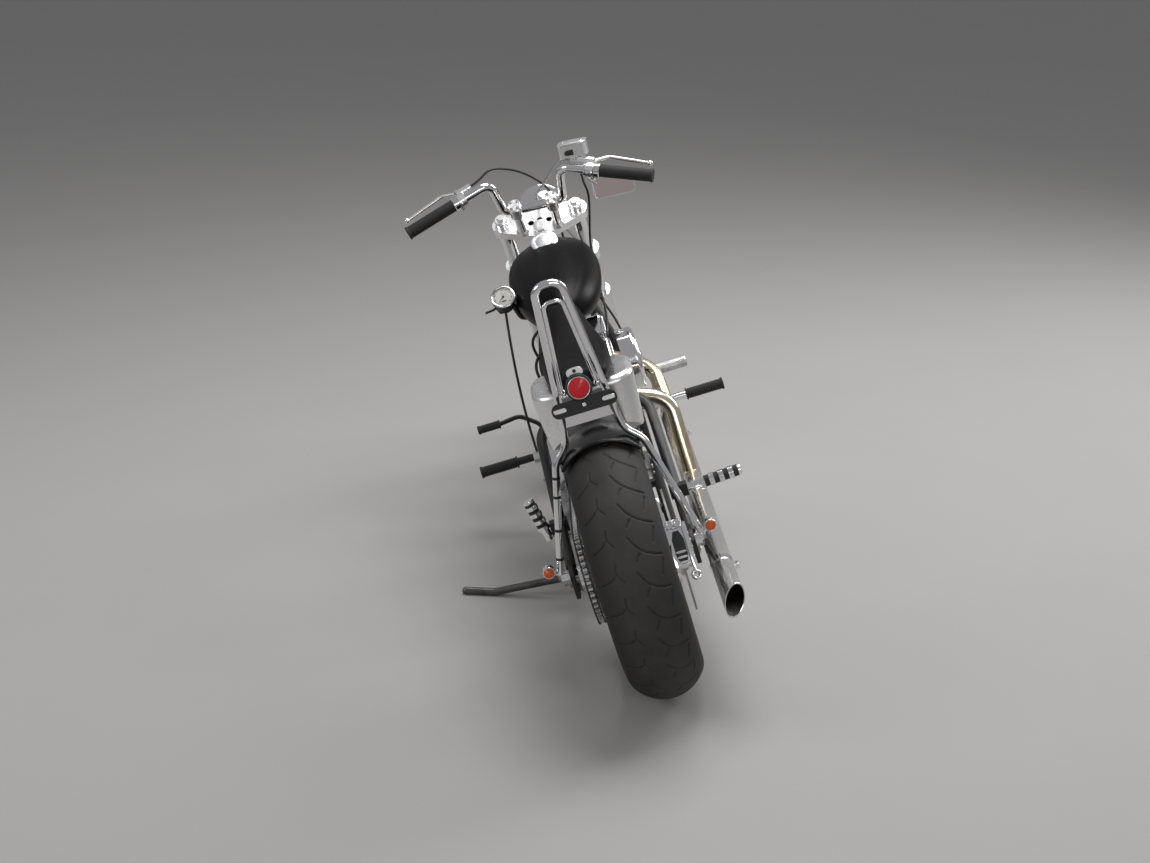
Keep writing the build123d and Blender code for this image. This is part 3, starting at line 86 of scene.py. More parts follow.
# A socket takes a wrapped value by a link, or a constant: a colour of three numbers gets its alpha
def feed(tree, socket, value):
    if isinstance(value, Value):
        tree.links.new(value.socket, socket)
    elif value is not None:
        socket.default_value = (*value, 1) if socket.type == "RGBA" and len(value) == 3 else value


# Shader expressions: a wrapped socket whose operators add Math nodes
class Value:
    def __init__(self, tree, socket):
        self.tree = tree
        self.socket = socket

    def math(self, operation, other=None, swap=False):
        node = self.tree.nodes.new("ShaderNodeMath")
        node.operation = operation
        for socket, side in zip(node.inputs, [other, self] if swap else [self, other]):
            feed(self.tree, socket, side)
        return Value(self.tree, node.outputs[0])

    def __add__(self, other):
        return self.math("ADD", other)

    def __radd__(self, other):
        return self.math("ADD", other)

    def __sub__(self, other):
        return self.math("SUBTRACT", other)

    def __rsub__(self, other):
        return self.math("SUBTRACT", other, swap=True)

    def __mul__(self, other):
        return self.math("MULTIPLY", other)

    def __rmul__(self, other):
        return self.math("MULTIPLY", other)


# One material: its nodes come from node(), its shader takes values or wrapped sockets
class Finish:
    def __init__(self, name):
        self.material = bpy.data.materials.new(name)
        self.material.use_nodes = True
        self.tree = self.material.node_tree
        self.shader = self.tree.nodes["Principled BSDF"]
        self.where = self.node("ShaderNodeTexCoord", out="Object")

    def node(self, kind, settings=None, out=0, **inputs):
        made = self.tree.nodes.new(kind)
        for key, value in (settings or {}).items():
            if key == "stops":
                ramp = made.color_ramp
                while len(ramp.elements) < len(value):
                    ramp.elements.new(0.5)
                for element, (spot, shade) in zip(ramp.elements, value):
                    element.position = spot
                    element.color = (*shade, 1) if len(shade) == 3 else shade
            else:
                setattr(made, key, value)
        for key, value in inputs.items():
            socket = made.inputs[int(key[5:]) if key.startswith("input") else key.replace("_", " ")]
            feed(self.tree, socket, value)
        return Value(self.tree, made.outputs[out])

    def noise(self, scale, detail=3.0, roughness=0.5):
        return self.node("ShaderNodeTexNoise", Vector=self.where, Scale=scale, Detail=detail,
                         Roughness=roughness)

    def ramp(self, value, *stops):
        return self.node("ShaderNodeValToRGB", {"stops": stops}, Fac=value)

    # 0 below low, 1 above high, straight between
    def steps(self, value, low, high):
        return self.node("ShaderNodeMapRange", {"clamp": True}, Value=value, From_Min=low, From_Max=high)

    def mix(self, amount, first, second):
        return self.node("ShaderNodeMix", {"data_type": "RGBA"}, 2, input0=amount, input6=first,
                         input7=second)

    # Metres from a spot along a way
    def along(self, way, spot):
        dot = self.node("ShaderNodeVectorMath", {"operation": "DOT_PRODUCT"}, 1, input0=self.where,
                        input1=tuple(way))
        return dot - float(np.dot(way, spot))

    def bump(self, height, strength, distance):
        return self.node("ShaderNodeBump", Strength=strength, Distance=distance, Height=height)

    def set(self, **values):
        for key, value in values.items():
            feed(self.tree, self.shader.inputs[key.replace("_", " ")], value)
        return self


# Each part of a tint times a number
def scaled(tint, by):
    return tuple(part * by for part in tint)


# Chrome: smudges darken and dull it in clouds, specks dull it in points
def chrome(name, tint=(0.83, 0.83, 0.84), dullness=0.06):
    look = Finish(name)
    smudge = look.noise(14.0, 4.0, 0.6)
    speck = look.noise(420.0, 2.0)
    rough = dullness + look.steps(smudge, 0.45, 0.8) * 0.12 + look.steps(speck, 0.66, 0.8) * 0.1
    shade = look.mix(look.steps(smudge, 0.5, 0.9), tint, scaled(tint, 0.86))
    return look.set(Base_Color=shade, Metallic=1.0, Roughness=rough).material


# Polished alloy: clouds darken and dull it, a fine grain stands in relief
def polishedAlloy(name, tint=(0.76, 0.76, 0.76), dullness=0.15):
    look = Finish(name)
    cloud = look.noise(26.0, 5.0, 0.6)
    grain = look.noise(900.0, 2.0)
    rough = dullness + look.steps(cloud, 0.4, 0.75) * 0.16
    shade = look.mix(look.steps(cloud, 0.35, 0.8), tint, scaled(tint, 0.8))
    return look.set(Base_Color=shade, Metallic=1.0, Roughness=rough,
                    Normal=look.bump(grain, 0.05, 0.0004)).material


# Gloss paint: a thin film of dust lifts its tone and dulls it
def glossPaint(name, tint=(0.004, 0.004, 0.0045), dullness=0.2, shine=0.4):
    look = Finish(name)
    dust = look.noise(60.0, 5.0, 0.7)
    film = look.steps(dust, 0.5, 0.85)
    shade = look.mix(film, tint, tuple(part + 0.002 for part in tint))
    return look.set(Base_Color=shade, Roughness=dullness + film * 0.14, Specular_IOR_Level=shine).material


# Satin black: clouds lift its tone and dull it, a fine grain stands in relief
def satinBlack(name, tint=(0.007, 0.007, 0.0075), rough=0.42):
    look = Finish(name)
    cloud = look.noise(45.0, 4.0, 0.6)
    grain = look.noise(1500.0, 2.0)
    shade = look.mix(look.steps(cloud, 0.4, 0.8), tint, tuple(part + 0.008 for part in tint))
    return look.set(Base_Color=shade, Roughness=rough + look.steps(cloud, 0.4, 0.8) * 0.15,
                    Normal=look.bump(grain, 0.08, 0.0003)).material


# Rubber: dust worn into it in clouds, a fine grain in relief
def rubberFinish(name, tint=(0.012, 0.012, 0.012), dust=(0.03, 0.029, 0.028)):
    look = Finish(name)
    wear = look.noise(9.0, 6.0, 0.65)
    grain = look.noise(700.0, 3.0)
    shade = look.mix(look.steps(wear, 0.4, 0.75), tint, dust)
    return look.set(Base_Color=shade, Roughness=0.62 + look.steps(wear, 0.35, 0.7) * 0.2,
                    Normal=look.bump(grain, 0.12, 0.0004)).material


# Tyre rubber about its wheel's plane: brown dust on the crown, blacker shoulders and walls
def tyreFinish(name, way, spot, half):
    look = Finish(name)
    aside = look.steps(look.along(way, spot).math("ABSOLUTE"), half * 0.45, half * 0.95)
    wear = look.steps(look.noise(11.0, 6.0, 0.65), 0.35, 0.75)
    grain = look.noise(650.0, 3.0)
    crown = look.mix(wear, (0.026, 0.0235, 0.0215), (0.048, 0.043, 0.039))
    shade = look.mix(aside, crown, (0.013, 0.013, 0.0135))
    return look.set(Base_Color=shade, Roughness=0.66 + wear * 0.14, Specular_IOR_Level=0.35,
                    Normal=look.bump(grain, 0.12, 0.0004)).material


# Leather: cells in relief, paler where it is worn
def leatherFinish(name, tint=(0.0025, 0.0025, 0.0028)):
    look = Finish(name)
    cells = look.node("ShaderNodeTexVoronoi", {"feature": "DISTANCE_TO_EDGE"}, Vector=look.where, Scale=420.0)
    wear = look.noise(12.0, 5.0, 0.6)
    shade = look.mix(look.steps(wear, 0.45, 0.8), tint, (0.007, 0.007, 0.0068))
    rough = 0.46 + look.steps(wear, 0.4, 0.8) * 0.14
    grain = look.bump(look.steps(cells, 0.0, 0.18), 0.22, 0.0005)
    return look.set(Base_Color=shade, Roughness=rough, Specular_IOR_Level=0.12, Normal=grain).material


# Black casting: a coarse grain in relief, paler where it is worn
def castFinish(name, tint=(0.02, 0.02, 0.021)):
    look = Finish(name)
    cast = look.noise(260.0, 5.0, 0.7)
    wear = look.noise(18.0, 4.0)
    shade = look.mix(look.steps(wear, 0.5, 0.85), tint, (0.055, 0.053, 0.05))
    return look.set(Base_Color=shade, Roughness=0.55 + cast * 0.15,
                    Normal=look.bump(cast, 0.25, 0.0006)).material


# Worn steel: stains darken and dull it
def wornSteel(name, tint=(0.42, 0.41, 0.4), dull=(0.16, 0.15, 0.14)):
    look = Finish(name)
    stain = look.noise(34.0, 6.0, 0.7)
    fine = look.noise(600.0, 3.0)
    shade = look.mix(look.steps(stain, 0.42, 0.78), tint, dull)
    return look.set(Base_Color=shade, Metallic=0.9, Roughness=0.3 + look.steps(stain, 0.4, 0.8) * 0.3,
                    Normal=look.bump(fine, 0.12, 0.0004)).material


# Chrome turned straw and bronze by heat
def heatedSteel(name):
    look = Finish(name)
    heat = look.noise(7.0, 4.0, 0.6)
    shade = look.ramp(heat, (0.3, (0.74, 0.7, 0.62)), (0.46, (0.72, 0.62, 0.47)), (0.58, (0.58, 0.44, 0.3)),
                      (0.74, (0.46, 0.4, 0.38)))
    return look.set(Base_Color=shade, Metallic=1.0, Roughness=0.16 + heat * 0.16).material


# The straight pipe's chrome: bright at its mouth, straw towards the engine
def pipeFinish(name, way, spot):
    look = Finish(name)
    heat = look.noise(9.0, 4.0, 0.6)
    reach = look.steps(look.along(way, spot) + heat * 0.3, 0.45, 1.15)
    shade = look.mix(reach, (0.88, 0.87, 0.85), (0.74, 0.67, 0.55))
    rough = 0.19 + look.steps(heat, 0.5, 0.8) * 0.12
    return look.set(Base_Color=shade, Metallic=1.0, Roughness=rough).material


# A coloured lens: small cells in relief, and a little light of its own
def lensFinish(name, tint, glow):
    look = Finish(name)
    cells = look.node("ShaderNodeTexVoronoi", {"feature": "F1"}, Vector=look.where, Scale=260.0)
    return look.set(Base_Color=tint, Roughness=0.12, Coat_Weight=0.6, Normal=look.bump(cells, 0.35, 0.0008),
                    Emission_Color=tint, Emission_Strength=glow).material


# Thin clear glass, duller where it is smeared
def clearGlass(name):
    look = Finish(name)
    smear = look.noise(30.0, 4.0)
    return look.set(Base_Color=(0.97, 0.98, 0.98), Roughness=0.02 + look.steps(smear, 0.5, 0.8) * 0.05,
                    Transmission_Weight=0.96, IOR=1.18).material


# Mirror glass, duller where it is smeared
def mirrorGlass(name, tint=(0.86, 0.88, 0.9)):
    look = Finish(name)
    smear = look.noise(40.0, 4.0)
    return look.set(Base_Color=tint, Metallic=1.0,
                    Roughness=0.03 + look.steps(smear, 0.55, 0.8) * 0.08).material


frontAxis = joints["front_wheel_spin"]
looks = {
    "chrome": chrome("machineChrome"),
    "alloy": polishedAlloy("polishedAlloy"),
    "black_paint": glossPaint("blackGlossPaint"),
    "cast_fins": castFinish("blackFinCasting"),
    "steel": wornSteel("wornSteel"),
    "tyre_rubber": tyreFinish("rearTyreRubber", rightWay, rearHub, 0.089),
    "black_rubber": rubberFinish("mouldedRubber"),
    "seat_leather": leatherFinish("seatLeather"),
    "clear_glass": clearGlass("clearGlass"),
    "mirror_glass": mirrorGlass("mirrorGlass"),
    "red_lens": lensFinish("redLens", (0.44, 0.012, 0.02), 0.2),
    "amber_lens": lensFinish("amberLens", (0.5, 0.09, 0.012), 0.12),
    "cable_black": satinBlack("cableSheath", (0.012, 0.012, 0.012), 0.4),
}
frontRubber = tyreFinish("frontTyreRubber", Vector(frontAxis["axis"]), Vector(frontAxis["pos_m"]), 0.046)
braid = chrome("braidedHose", (0.5, 0.5, 0.5), 0.28)
oiledSteel = wornSteel("oiledSteel", (0.13, 0.125, 0.12), (0.03, 0.027, 0.024))
pipeChrome = pipeFinish("pipeChrome", forwardWay, rearHub - forwardWay * 0.17)
satin = satinBlack("satinBlack")
brightAlloy = polishedAlloy("brightAlloy", (0.9, 0.9, 0.9), 0.27)
tankBlack = glossPaint("tankBlack", (0.0008, 0.0008, 0.001), 0.36, 0.13)
knurled = wornSteel("knurledSteel", (0.7, 0.7, 0.69), (0.2, 0.2, 0.19))
discSteel = wornSteel("discSteel", (0.4, 0.395, 0.385), (0.3, 0.295, 0.29))
rosyMirror = mirrorGlass("rosyMirror", (0.74, 0.62, 0.6))
heated = heatedSteel("heatedSteel")
slotOf = {part["node"]: part["material_slot"] for part in frame["record"]["subparts"]}
satinNodes = ("frame_rear_stays", "frame_cradle", "left_control", "tail_lamp_bracket", "tail_lamp",
              "speedometer_bracket", "speedometer")
lookOf = dict.fromkeys(satinNodes, satin)
lookOf |= dict.fromkeys(("yokes", "brake_lever", "clutch_lever", "oil_tank"), brightAlloy)
lookOf |= {"exhaust_headers": heated, "brake_hose": braid, "front_tyre": frontRubber, "fuel_tank": tankBlack,
           "mirror_glass": rosyMirror, "side_stand": oiledSteel}
for name, item in nodes.items():
    item.data.materials.clear()
    item.data.materials.append(lookOf.get(name, looks[slotOf[name]]))
print("materials on", len(nodes), "nodes")

# The steering axis and the top yoke's middle, from the rake and the yokes' offset
axleDrop = (machine["yokeHeight"] + machine["yokeOffset"] * rakeSin - machine["frontRadius"]) / rakeCos
headY = machine["wheelbase"] - axleDrop * rakeSin - machine["yokeOffset"] * rakeCos
steerWay = np.array([0.0, -rakeSin, rakeCos])
steerSpot = np.array([0.0, headY, machine["yokeHeight"]])
forkAhead = np.array([0.0, rakeCos, rakeSin])
flip = np.array([-1.0, 1.0, 1.0])
bothSides = ((-1, flip), (1, 1))


# A way divided by its length
def unit(way):
    return np.asarray(way, float) / np.linalg.norm(way)


# By its distances from the steering axis: across, forward, and along it from the top yoke
def atFork(x, forward, along):
    return steerSpot + np.array([x, forward * rakeCos, forward * rakeSin]) + steerWay * along


# Turned about an axis: the part along it stays, the rest goes round by the angle
def spun(points, spot, way, degrees):
    arm = np.asarray(points, float) - spot
    angle = math.radians(degrees)
    kept = (arm @ way)[..., None] * way
    return spot + kept + (arm - kept) * math.cos(angle) + np.cross(way, arm) * math.sin(angle)


# Turned with the parked fork
def steered(points):
    return spun(points, steerSpot, steerWay, machine["steerTurn"])


# Two directions across a way, at right angles to each other
def acrossOf(way):
    way = unit(way)
    guide = (0.0, 0.0, 1.0) if abs(way[2]) < 0.9 else (1.0, 0.0, 0.0)
    side = unit(np.cross(guide, way))
    return side, np.cross(way, side)


# Equal turns round a circle
def turnsOf(count):
    return np.linspace(0, 2 * np.pi, count, endpoint=False)


# Points round a circle from turns: cosine and sine side by side
def circleOf(turns):
    return np.stack([np.cos(turns), np.sin(turns)], -1)


# Four-sided faces between rows of point numbers, each row closed on itself
def quads(rows):
    here, there = rows[:-1], rows[1:]
    return np.stack([here, np.roll(here, -1, 1), np.roll(there, -1, 1), there], -1).reshape(-1, 4)


# Depths through a plate, each with how far the outline is drawn in there
def edgeRows(thickness, edge):
    return (0.0, edge), (edge, 0.0), (thickness - edge, 0.0), (thickness, edge)


# Points and faces gathered in machine millimetres before they become one mesh
class Shape:
    def __init__(self):
        self.points = []
        self.faces = []
        self.total = 0

    def add(self, points, *faces):
        points = np.asarray(points, float).reshape(-1, 3)
        self.points.append(points)
        self.faces += [face + self.total for face in faces]
        self.total += len(points)
        return self

    # Rings of points joined in order: each is closed, and the ends get a fan or meet as a loop
    def rings(self, points, loop=False):
        count, around = points.shape[:2]
        number = np.arange(count * around).reshape(count, around)
        if loop:
            return self.add(points, quads(np.vstack([number, number[:1]])))
        middles = np.stack([points[0].mean(0), points[-1].mean(0)])
        fans = []
        for end, (row, turn) in enumerate(((number[0], 1), (number[-1], 0))):
            middle = np.full(around, count * around + end)
            fans.append(np.stack([middle, np.roll(row, -turn), np.roll(row, turn - 1)], -1))
        return self.add(np.vstack([points.reshape(-1, 3), middles]), quads(number), *fans)

    # A turned form: rows of distance along the axis and radius, swept round it, or a closed ring of them
    def lathe(self, outline, centre, way, sides=32, loop=False):
        along, radius = np.asarray(outline, float).T
        side, up = acrossOf(way)
        turn = turnsOf(sides)
        ring = np.cos(turn)[:, None] * side + np.sin(turn)[:, None] * up
        points = np.asarray(centre) + along[:, None, None] * unit(way) + radius[:, None, None] * ring
        return self.rings(points, loop)

    # A ring of round section about an axis
    def hoop(self, centre, way, radius, thickness, sides=64, around=12):
        side, up = acrossOf(way)
        turn = turnsOf(sides)[:, None, None]
        roll = turnsOf(around)[None, :, None]
        out = (np.cos(turn) * side + np.sin(turn) * up) * (radius + thickness * np.cos(roll))
        return self.rings(np.asarray(centre) + out + unit(way) * thickness * np.sin(roll), loop=True)

    # A round bar along a path: circles across its direction, kept level by the guide
    def tube(self, path, radius, sides=16, guide=(0, 0, 1)):
        path = np.asarray(path, float)
        way = np.gradient(path, axis=0)
        way /= np.linalg.norm(way, axis=1)[:, None]
        side = np.cross(np.asarray(guide, float), way)
        side /= np.linalg.norm(side, axis=1)[:, None]
        up = np.cross(way, side)
        turn = turnsOf(sides)[None, :, None]
        size = np.broadcast_to(np.asarray(radius, float), len(path))[:, None, None]
        return self.rings(path[:, None] + size * (np.cos(turn) * side[:, None] + np.sin(turn) * up[:, None]))

    # A plate: a rounded outline carried through its thickness, drawn in a little at both edges
    def plate(self, centre, size, ways, thickness, corner=None, edge=0.6, power=None, around=40):
        wide, high = size
        across, up = unit(ways[0]), unit(ways[1])
        out = np.cross(across, up)
        turn = turnsOf(around) + np.pi / around
        power = power or max(0.08, min(1.0, 2 * (corner or 2.0) / min(wide, high)))
        flatX = np.sign(np.cos(turn)) * np.abs(np.cos(turn)) ** power * wide / 2
        flatY = np.sign(np.sin(turn)) * np.abs(np.sin(turn)) ** power * high / 2
        rings = []
        for depth, inset in edgeRows(thickness, edge):
            x, y = flatX * (1 - 2 * inset / wide), flatY * (1 - 2 * inset / high)
            rings.append(np.asarray(centre) + out * depth + (x[:, None] * across + y[:, None] * up))
        return self.rings(np.stack(rings))

    # A plate of any outline that its middle sees whole: corners cut round, edges drawn in
    def slab(self, outline, spot, ways, thickness, edge=1.2, cuts=2):
        line = np.asarray(outline, float)
        for _ in range(cuts):
            ahead = np.roll(line, -1, 0)
            line = np.stack([line * 0.75 + ahead * 0.25, line * 0.25 + ahead * 0.75], 1).reshape(-1, 2)
        arm = line - line.mean(0)
        pull = arm / np.linalg.norm(arm, axis=1)[:, None]
        across, up = unit(ways[0]), unit(ways[1])
        out = np.cross(across, up)
        rings = []
        for depth, inset in edgeRows(thickness, edge):
            flat = line - pull * inset
            rings.append(np.asarray(spot) + out * depth + flat[:, :1] * across + flat[:, 1:] * up)
        return self.rings(np.stack(rings))

    # A hexagon head with its washer
    def bolt(self, centre, way, across=10.0, height=5.0):
        washer, flats = across * 0.72, across * 0.56
        self.lathe([(0, 0.2), (0, washer), (0.9, washer), (0.95, across * 0.7)], centre, way, 16)
        head = [(0.9, flats), (height * 0.8, flats), (height, across * 0.47), (height, across * 0.2)]
        return self.lathe(head, centre, way, 6)

    # A round cap with a socket in it
    def capScrew(self, centre, way, across=10.0, height=6.0):
        half = across / 2
        outline = [(0, half), (height - 0.8, half), (height, half - 0.8), (height, half * 0.55),
                   (height * 0.5, half * 0.5)]
        return self.lathe(outline, centre, way, 20)


# One mesh object from a shape: in the frame, turned with the steering where the fork carries it, welded, with
# faces outwards and sharp where the surface turns hard
def build(name, shape, body, slot, look=None, crease=34.0, replaces=(), weld=True):
    points = np.vstack(shape.points)
    points = place(steered(points) if body in ("fork", "front_wheel") else points)
    mesh = bpy.data.meshes.new(name)
    mesh.from_pydata(points.tolist(), [], [face for block in shape.faces for face in block.tolist()])
    if weld:
        solid = bmesh.new()
        solid.from_mesh(mesh)
        bmesh.ops.remove_doubles(solid, verts=solid.verts, dist=0.00002)
        bmesh.ops.recalc_face_normals(solid, faces=solid.faces)
        solid.to_mesh(mesh)
        solid.free()
    mesh.polygons.foreach_set("use_smooth", np.ones(len(mesh.polygons), bool))
    mesh.set_sharp_from_angle(angle=math.radians(crease))
    mesh.materials.append(look or looks[slot])
    item = bpy.data.objects.new(name, mesh)
    scene.collection.objects.link(item)
    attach(item, body)
    if replaces:
        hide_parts(*replaces)
    return item


# Tyres: the profile of crown and sides carried round the axle, with the tread's grooves pressed in
tyres = {
    "rear_tyre": {"name": "rearTyreTread", "body": "rear_wheel", "look": looks["tyre_rubber"],
                  "centre": rearAxle, "radius": machine["rearRadius"], "rim": machine["rearRim"],
                  "rimWidth": 122.0, "width": 178.0, "crown": 98.0, "repeats": 26, "steps": 34, "across": 82,
                  "halfWidth": 2.0, "depth": 3.4, "scale": 1.0},
    "front_tyre": {"name": "frontTyreTread", "body": "front_wheel", "look": frontRubber,
                   "centre": frontAxle, "radius": machine["frontRadius"], "rim": machine["frontRim"],
                   "rimWidth": 52.0, "width": 92.0, "crown": 50.0, "repeats": 27, "steps": 26, "across": 48,
                   "halfWidth": 1.5, "depth": 2.4, "scale": 0.5},
}
# Strokes of one repeat, in millimetres across the rear tread and back along it: points of each groove
treadStrokes = [
    [(8, 0), (16, 16), (25, 29), (40, 41), (58, 49), (78, 53)],
    [(-34, -29), (-38, -18), (-38, -9), (-32, 3), (-24, 13)],
    [(-38, -8), (-52, 4), (-68, 10), (-84, 12)],
    [(25, 40), (19, 48), (14, 57)],
    [(76, -13), (70, 5), (64, 22)],
]


# A point's depth falls from the groove's middle to its edge: the distance to the nearest stroke decides it
def grooveDepth(across, along, facts):
    pitch = 2 * math.pi * facts["radius"] / facts["repeats"]
    nearest = np.full(across.shape, 99.0)
    for stroke in treadStrokes:
        line = np.array(stroke) * (facts["scale"], pitch / 78.5)
        for first, last in zip(line[:-1], line[1:]):
            run = last - first
            for lap in (-pitch, 0.0, pitch):
                x = across - first[0]
                t = (along + pitch / 2) % pitch - pitch / 2 - first[1] + lap
                share = np.clip((x * run[0] + t * run[1]) / (run @ run), 0, 1)
                nearest = np.minimum(nearest, np.hypot(x - share * run[0], t - share * run[1]))
    return np.clip(1.25 - nearest / facts["halfWidth"], 0, 1) ** 0.7


# An arc through three points, as a count of points along it
def arcThrough(first, middle, last, count):
    a, b, c = (np.asarray(p, float) for p in (first, middle, last))
    matrix = 2 * np.array([b - a, c - a])
    centre = np.linalg.solve(matrix, [b @ b - a @ a, c @ c - a @ a])
    radius = np.linalg.norm(a - centre)
    angles = np.unwrap([math.atan2(*(p - centre)[::-1]) for p in (a, b, c)])
    turn = np.linspace(angles[0], angles[2], count)
    return centre + radius * circleOf(turn)


for node, facts in tyres.items():
    radius, crown, rim = facts["radius"], facts["crown"], facts["rim"]
    half = facts["width"] * 0.43
    drop = crown - math.sqrt(crown ** 2 - half ** 2)
    bead = facts["rimWidth"] / 2 - 6
    widest = (radius - drop) * 0.45 + rim * 0.55
    side = arcThrough((half, radius - drop), (facts["width"] / 2, widest), (bead, rim), 13)[1:]
    reach = math.asin(half / crown)
    spread = np.linspace(-reach, reach, facts["across"])
    tread = np.stack([crown * np.sin(spread), radius - crown + crown * np.cos(spread)], -1)
    well = [(bead - 9, rim), (bead * 0.4, radius - 27), (0, radius - 22), (-bead * 0.4, radius - 27),
            (9 - bead, rim)]
    mirrorSide = side[::-1] * (-1, 1)
    profile = np.vstack([mirrorSide, tread, side, well])
    turns = turnsOf(facts["repeats"] * facts["steps"])
    grid = np.repeat(profile[None], len(turns), 0)
    around, along = np.broadcast_arrays(crown * spread, turns[:, None] * radius)
    hollow = (grooveDepth(around, along, facts) * facts["depth"])[..., None]
    grid[:, len(mirrorSide):-len(side) - len(well)] -= hollow * np.stack([np.sin(spread), np.cos(spread)], -1)
    out = circleOf(turns + np.pi / 2)
    points = np.concatenate([grid[..., :1], grid[..., 1:] * out[:, None]], -1)
    treadShape = Shape().rings(points + facts["centre"], loop=True)
    item = build(facts["name"], treadShape, facts["body"], "tyre_rubber", facts["look"], crease=62,
                 replaces=(node,), weld=False)
print("tyres", len(item.data.polygons))

# Chain: rollers on the pitch line, joined by pairs of waisted plates
chainFacts = {"pitch": 15.875, "line": -110.0, "rearTeeth": 43, "frontTeeth": 17, "links": 106, "pin": 2.6,
              "roller": 5.1, "pinLength": 15.8, "plateHalf": 7.2, "waist": 5.4, "thickness": 1.9,
              "inside": 5.0}
pin, roller, pinLength = chainFacts["pin"], chainFacts["roller"], chainFacts["pinLength"]
pinRows = [(0, 0.1), (0, pin), (3, pin), (3, roller), (pinLength - 3, roller), (pinLength - 3, pin),
           (pinLength, pin), (pinLength, 0.1)]
rearPitch = chainFacts["pitch"] / (2 * math.sin(math.pi / chainFacts["rearTeeth"]))
frontPitch = chainFacts["pitch"] / (2 * math.sin(math.pi / chainFacts["frontTeeth"]))
gearSpot, hubSpot = gearbox[1:], rearAxle[1:]
span = gearSpot - hubSpot
slope = math.atan2(span[1], span[0])
opening = math.asin((rearPitch - frontPitch) / np.linalg.norm(span))
upper, lower = math.pi / 2 + slope - opening, -math.pi / 2 + slope + opening
route = np.vstack([gearSpot + frontPitch * circleOf(np.linspace(upper, lower, 60)),
                   hubSpot + rearPitch * circleOf(np.linspace(lower, upper - 2 * math.pi, 160))])
route = np.vstack([route, route[:1]])
length = np.concatenate([[0], np.cumsum(np.linalg.norm(np.diff(route, axis=0), axis=1))])
pins = np.linspace(0, length[-1], chainFacts["links"], endpoint=False)
pinSpots = np.stack([np.interp(pins, length, route[:, k]) for k in (0, 1)], -1)
plates, rollers = Shape(), Shape()
for number, spot in enumerate(pinSpots):
    there = pinSpots[(number + 1) % len(pinSpots)]
    way = unit(there - spot)
    level = np.array([-way[1], way[0]])
    gap = np.linalg.norm(there - spot)
    end = circleOf(np.linspace(math.pi / 2, 3 * math.pi / 2, 7)) * chainFacts["plateHalf"]
    waist = chainFacts["waist"]
    outline = np.vstack([end, [(gap / 2, -waist)], -end + (gap, 0), [(gap / 2, waist)]])
    flat = spot + outline[:, :1] * way + outline[:, 1:] * level
    shift = chainFacts["inside"] + (chainFacts["thickness"] + 0.3) * (number % 2)
    for side in (-1, 1):
        rows = [np.column_stack([np.full(len(flat), chainFacts["line"] + side * (shift + depth)), flat])
                for depth in (0.0, chainFacts["thickness"])]
        plates.rings(np.stack(rows))
    rollers.lathe(pinRows, (chainFacts["line"] - pinLength / 2, *spot), (1, 0, 0), 10)
build("chainPlates", plates, "frame", "steel", oiledSteel, crease=40, replaces=("chain",))
build("chainRollers", rollers, "frame", "steel", looks["alloy"], crease=40)
print("chain links", len(pinSpots), "pitch", round(length[-1] / len(pinSpots), 2))


# A plate of cells round an axis, each with an oval hole: the cell's square edge runs to the hole's edge
def holedRing(shape, centre, low, high, count, rows, hole, thickness, phase=0.0):
    circle = circleOf(turnsOf(16))
    square = circle / np.abs(circle).max(1)[:, None]
    outlines = ((square, 0), (circle * hole, 0), (circle * hole, thickness), (square, thickness))
    number = np.arange(64).reshape(4, 16)
    for row in range(rows):
        bottom, top = (low + (high - low) * (row + step) / rows for step in (0, 1))
        edges = [(7, 8), (8, 9), (6, 7), (9, 10)] if row == 0 else []
        edges += [(15, 0), (0, 1), (14, 15), (1, 2)] if row == rows - 1 else []
        walls = [(number[0][a], number[0][b], number[3][b], number[3][a]) for a, b in edges]
        for cell in range(count):
            middle = (cell + 0.33 * row) / count * 2 * np.pi + phase
            loops = []
            for outline, depth in outlines:
                size = (bottom + top) / 2 + outline[:, 0] * (top - bottom) / 2
                ring = size[:, None] * circleOf(middle + outline[:, 1] * np.pi / count)
                loops.append(np.array(centre) + np.column_stack([np.full(16, depth), ring]))
            shape.add(np.vstack(loops), quads(number), *([np.array(walls)] if walls else []))
    return shape


# Brake discs: a drilled band on a spidered carrier
discs = {
    "rear_disc": {"name": "rearBrakeDisc", "body": "rear_wheel", "x": 105.5, "axle": rearAxle, "hub": 35},
    "front_disc": {"name": "frontBrakeDisc", "body": "front_wheel", "x": 57.5, "axle": frontAxle, "hub": 25},
}
for node, facts in discs.items():
    centre = facts["axle"] + (facts["x"], 0, 0)
    disc = holedRing(Shape(), centre, 98, 146, 36, 3, (0.42, 0.42), 5)
    disc = holedRing(disc, centre, facts["hub"], 98, 6, 1, (0.62, 0.66), 5, 0.3)
    build(facts["name"], disc, facts["body"], "steel", discSteel, replaces=(node,))
    bolts = Shape()
    for turn in turnsOf(6):
        bolts.bolt(centre + (5, 44 * math.cos(turn), 44 * math.sin(turn)), (1, 0, 0), 13, 7)
    build(facts["name"] + "Bolts", bolts, facts["body"], "steel")

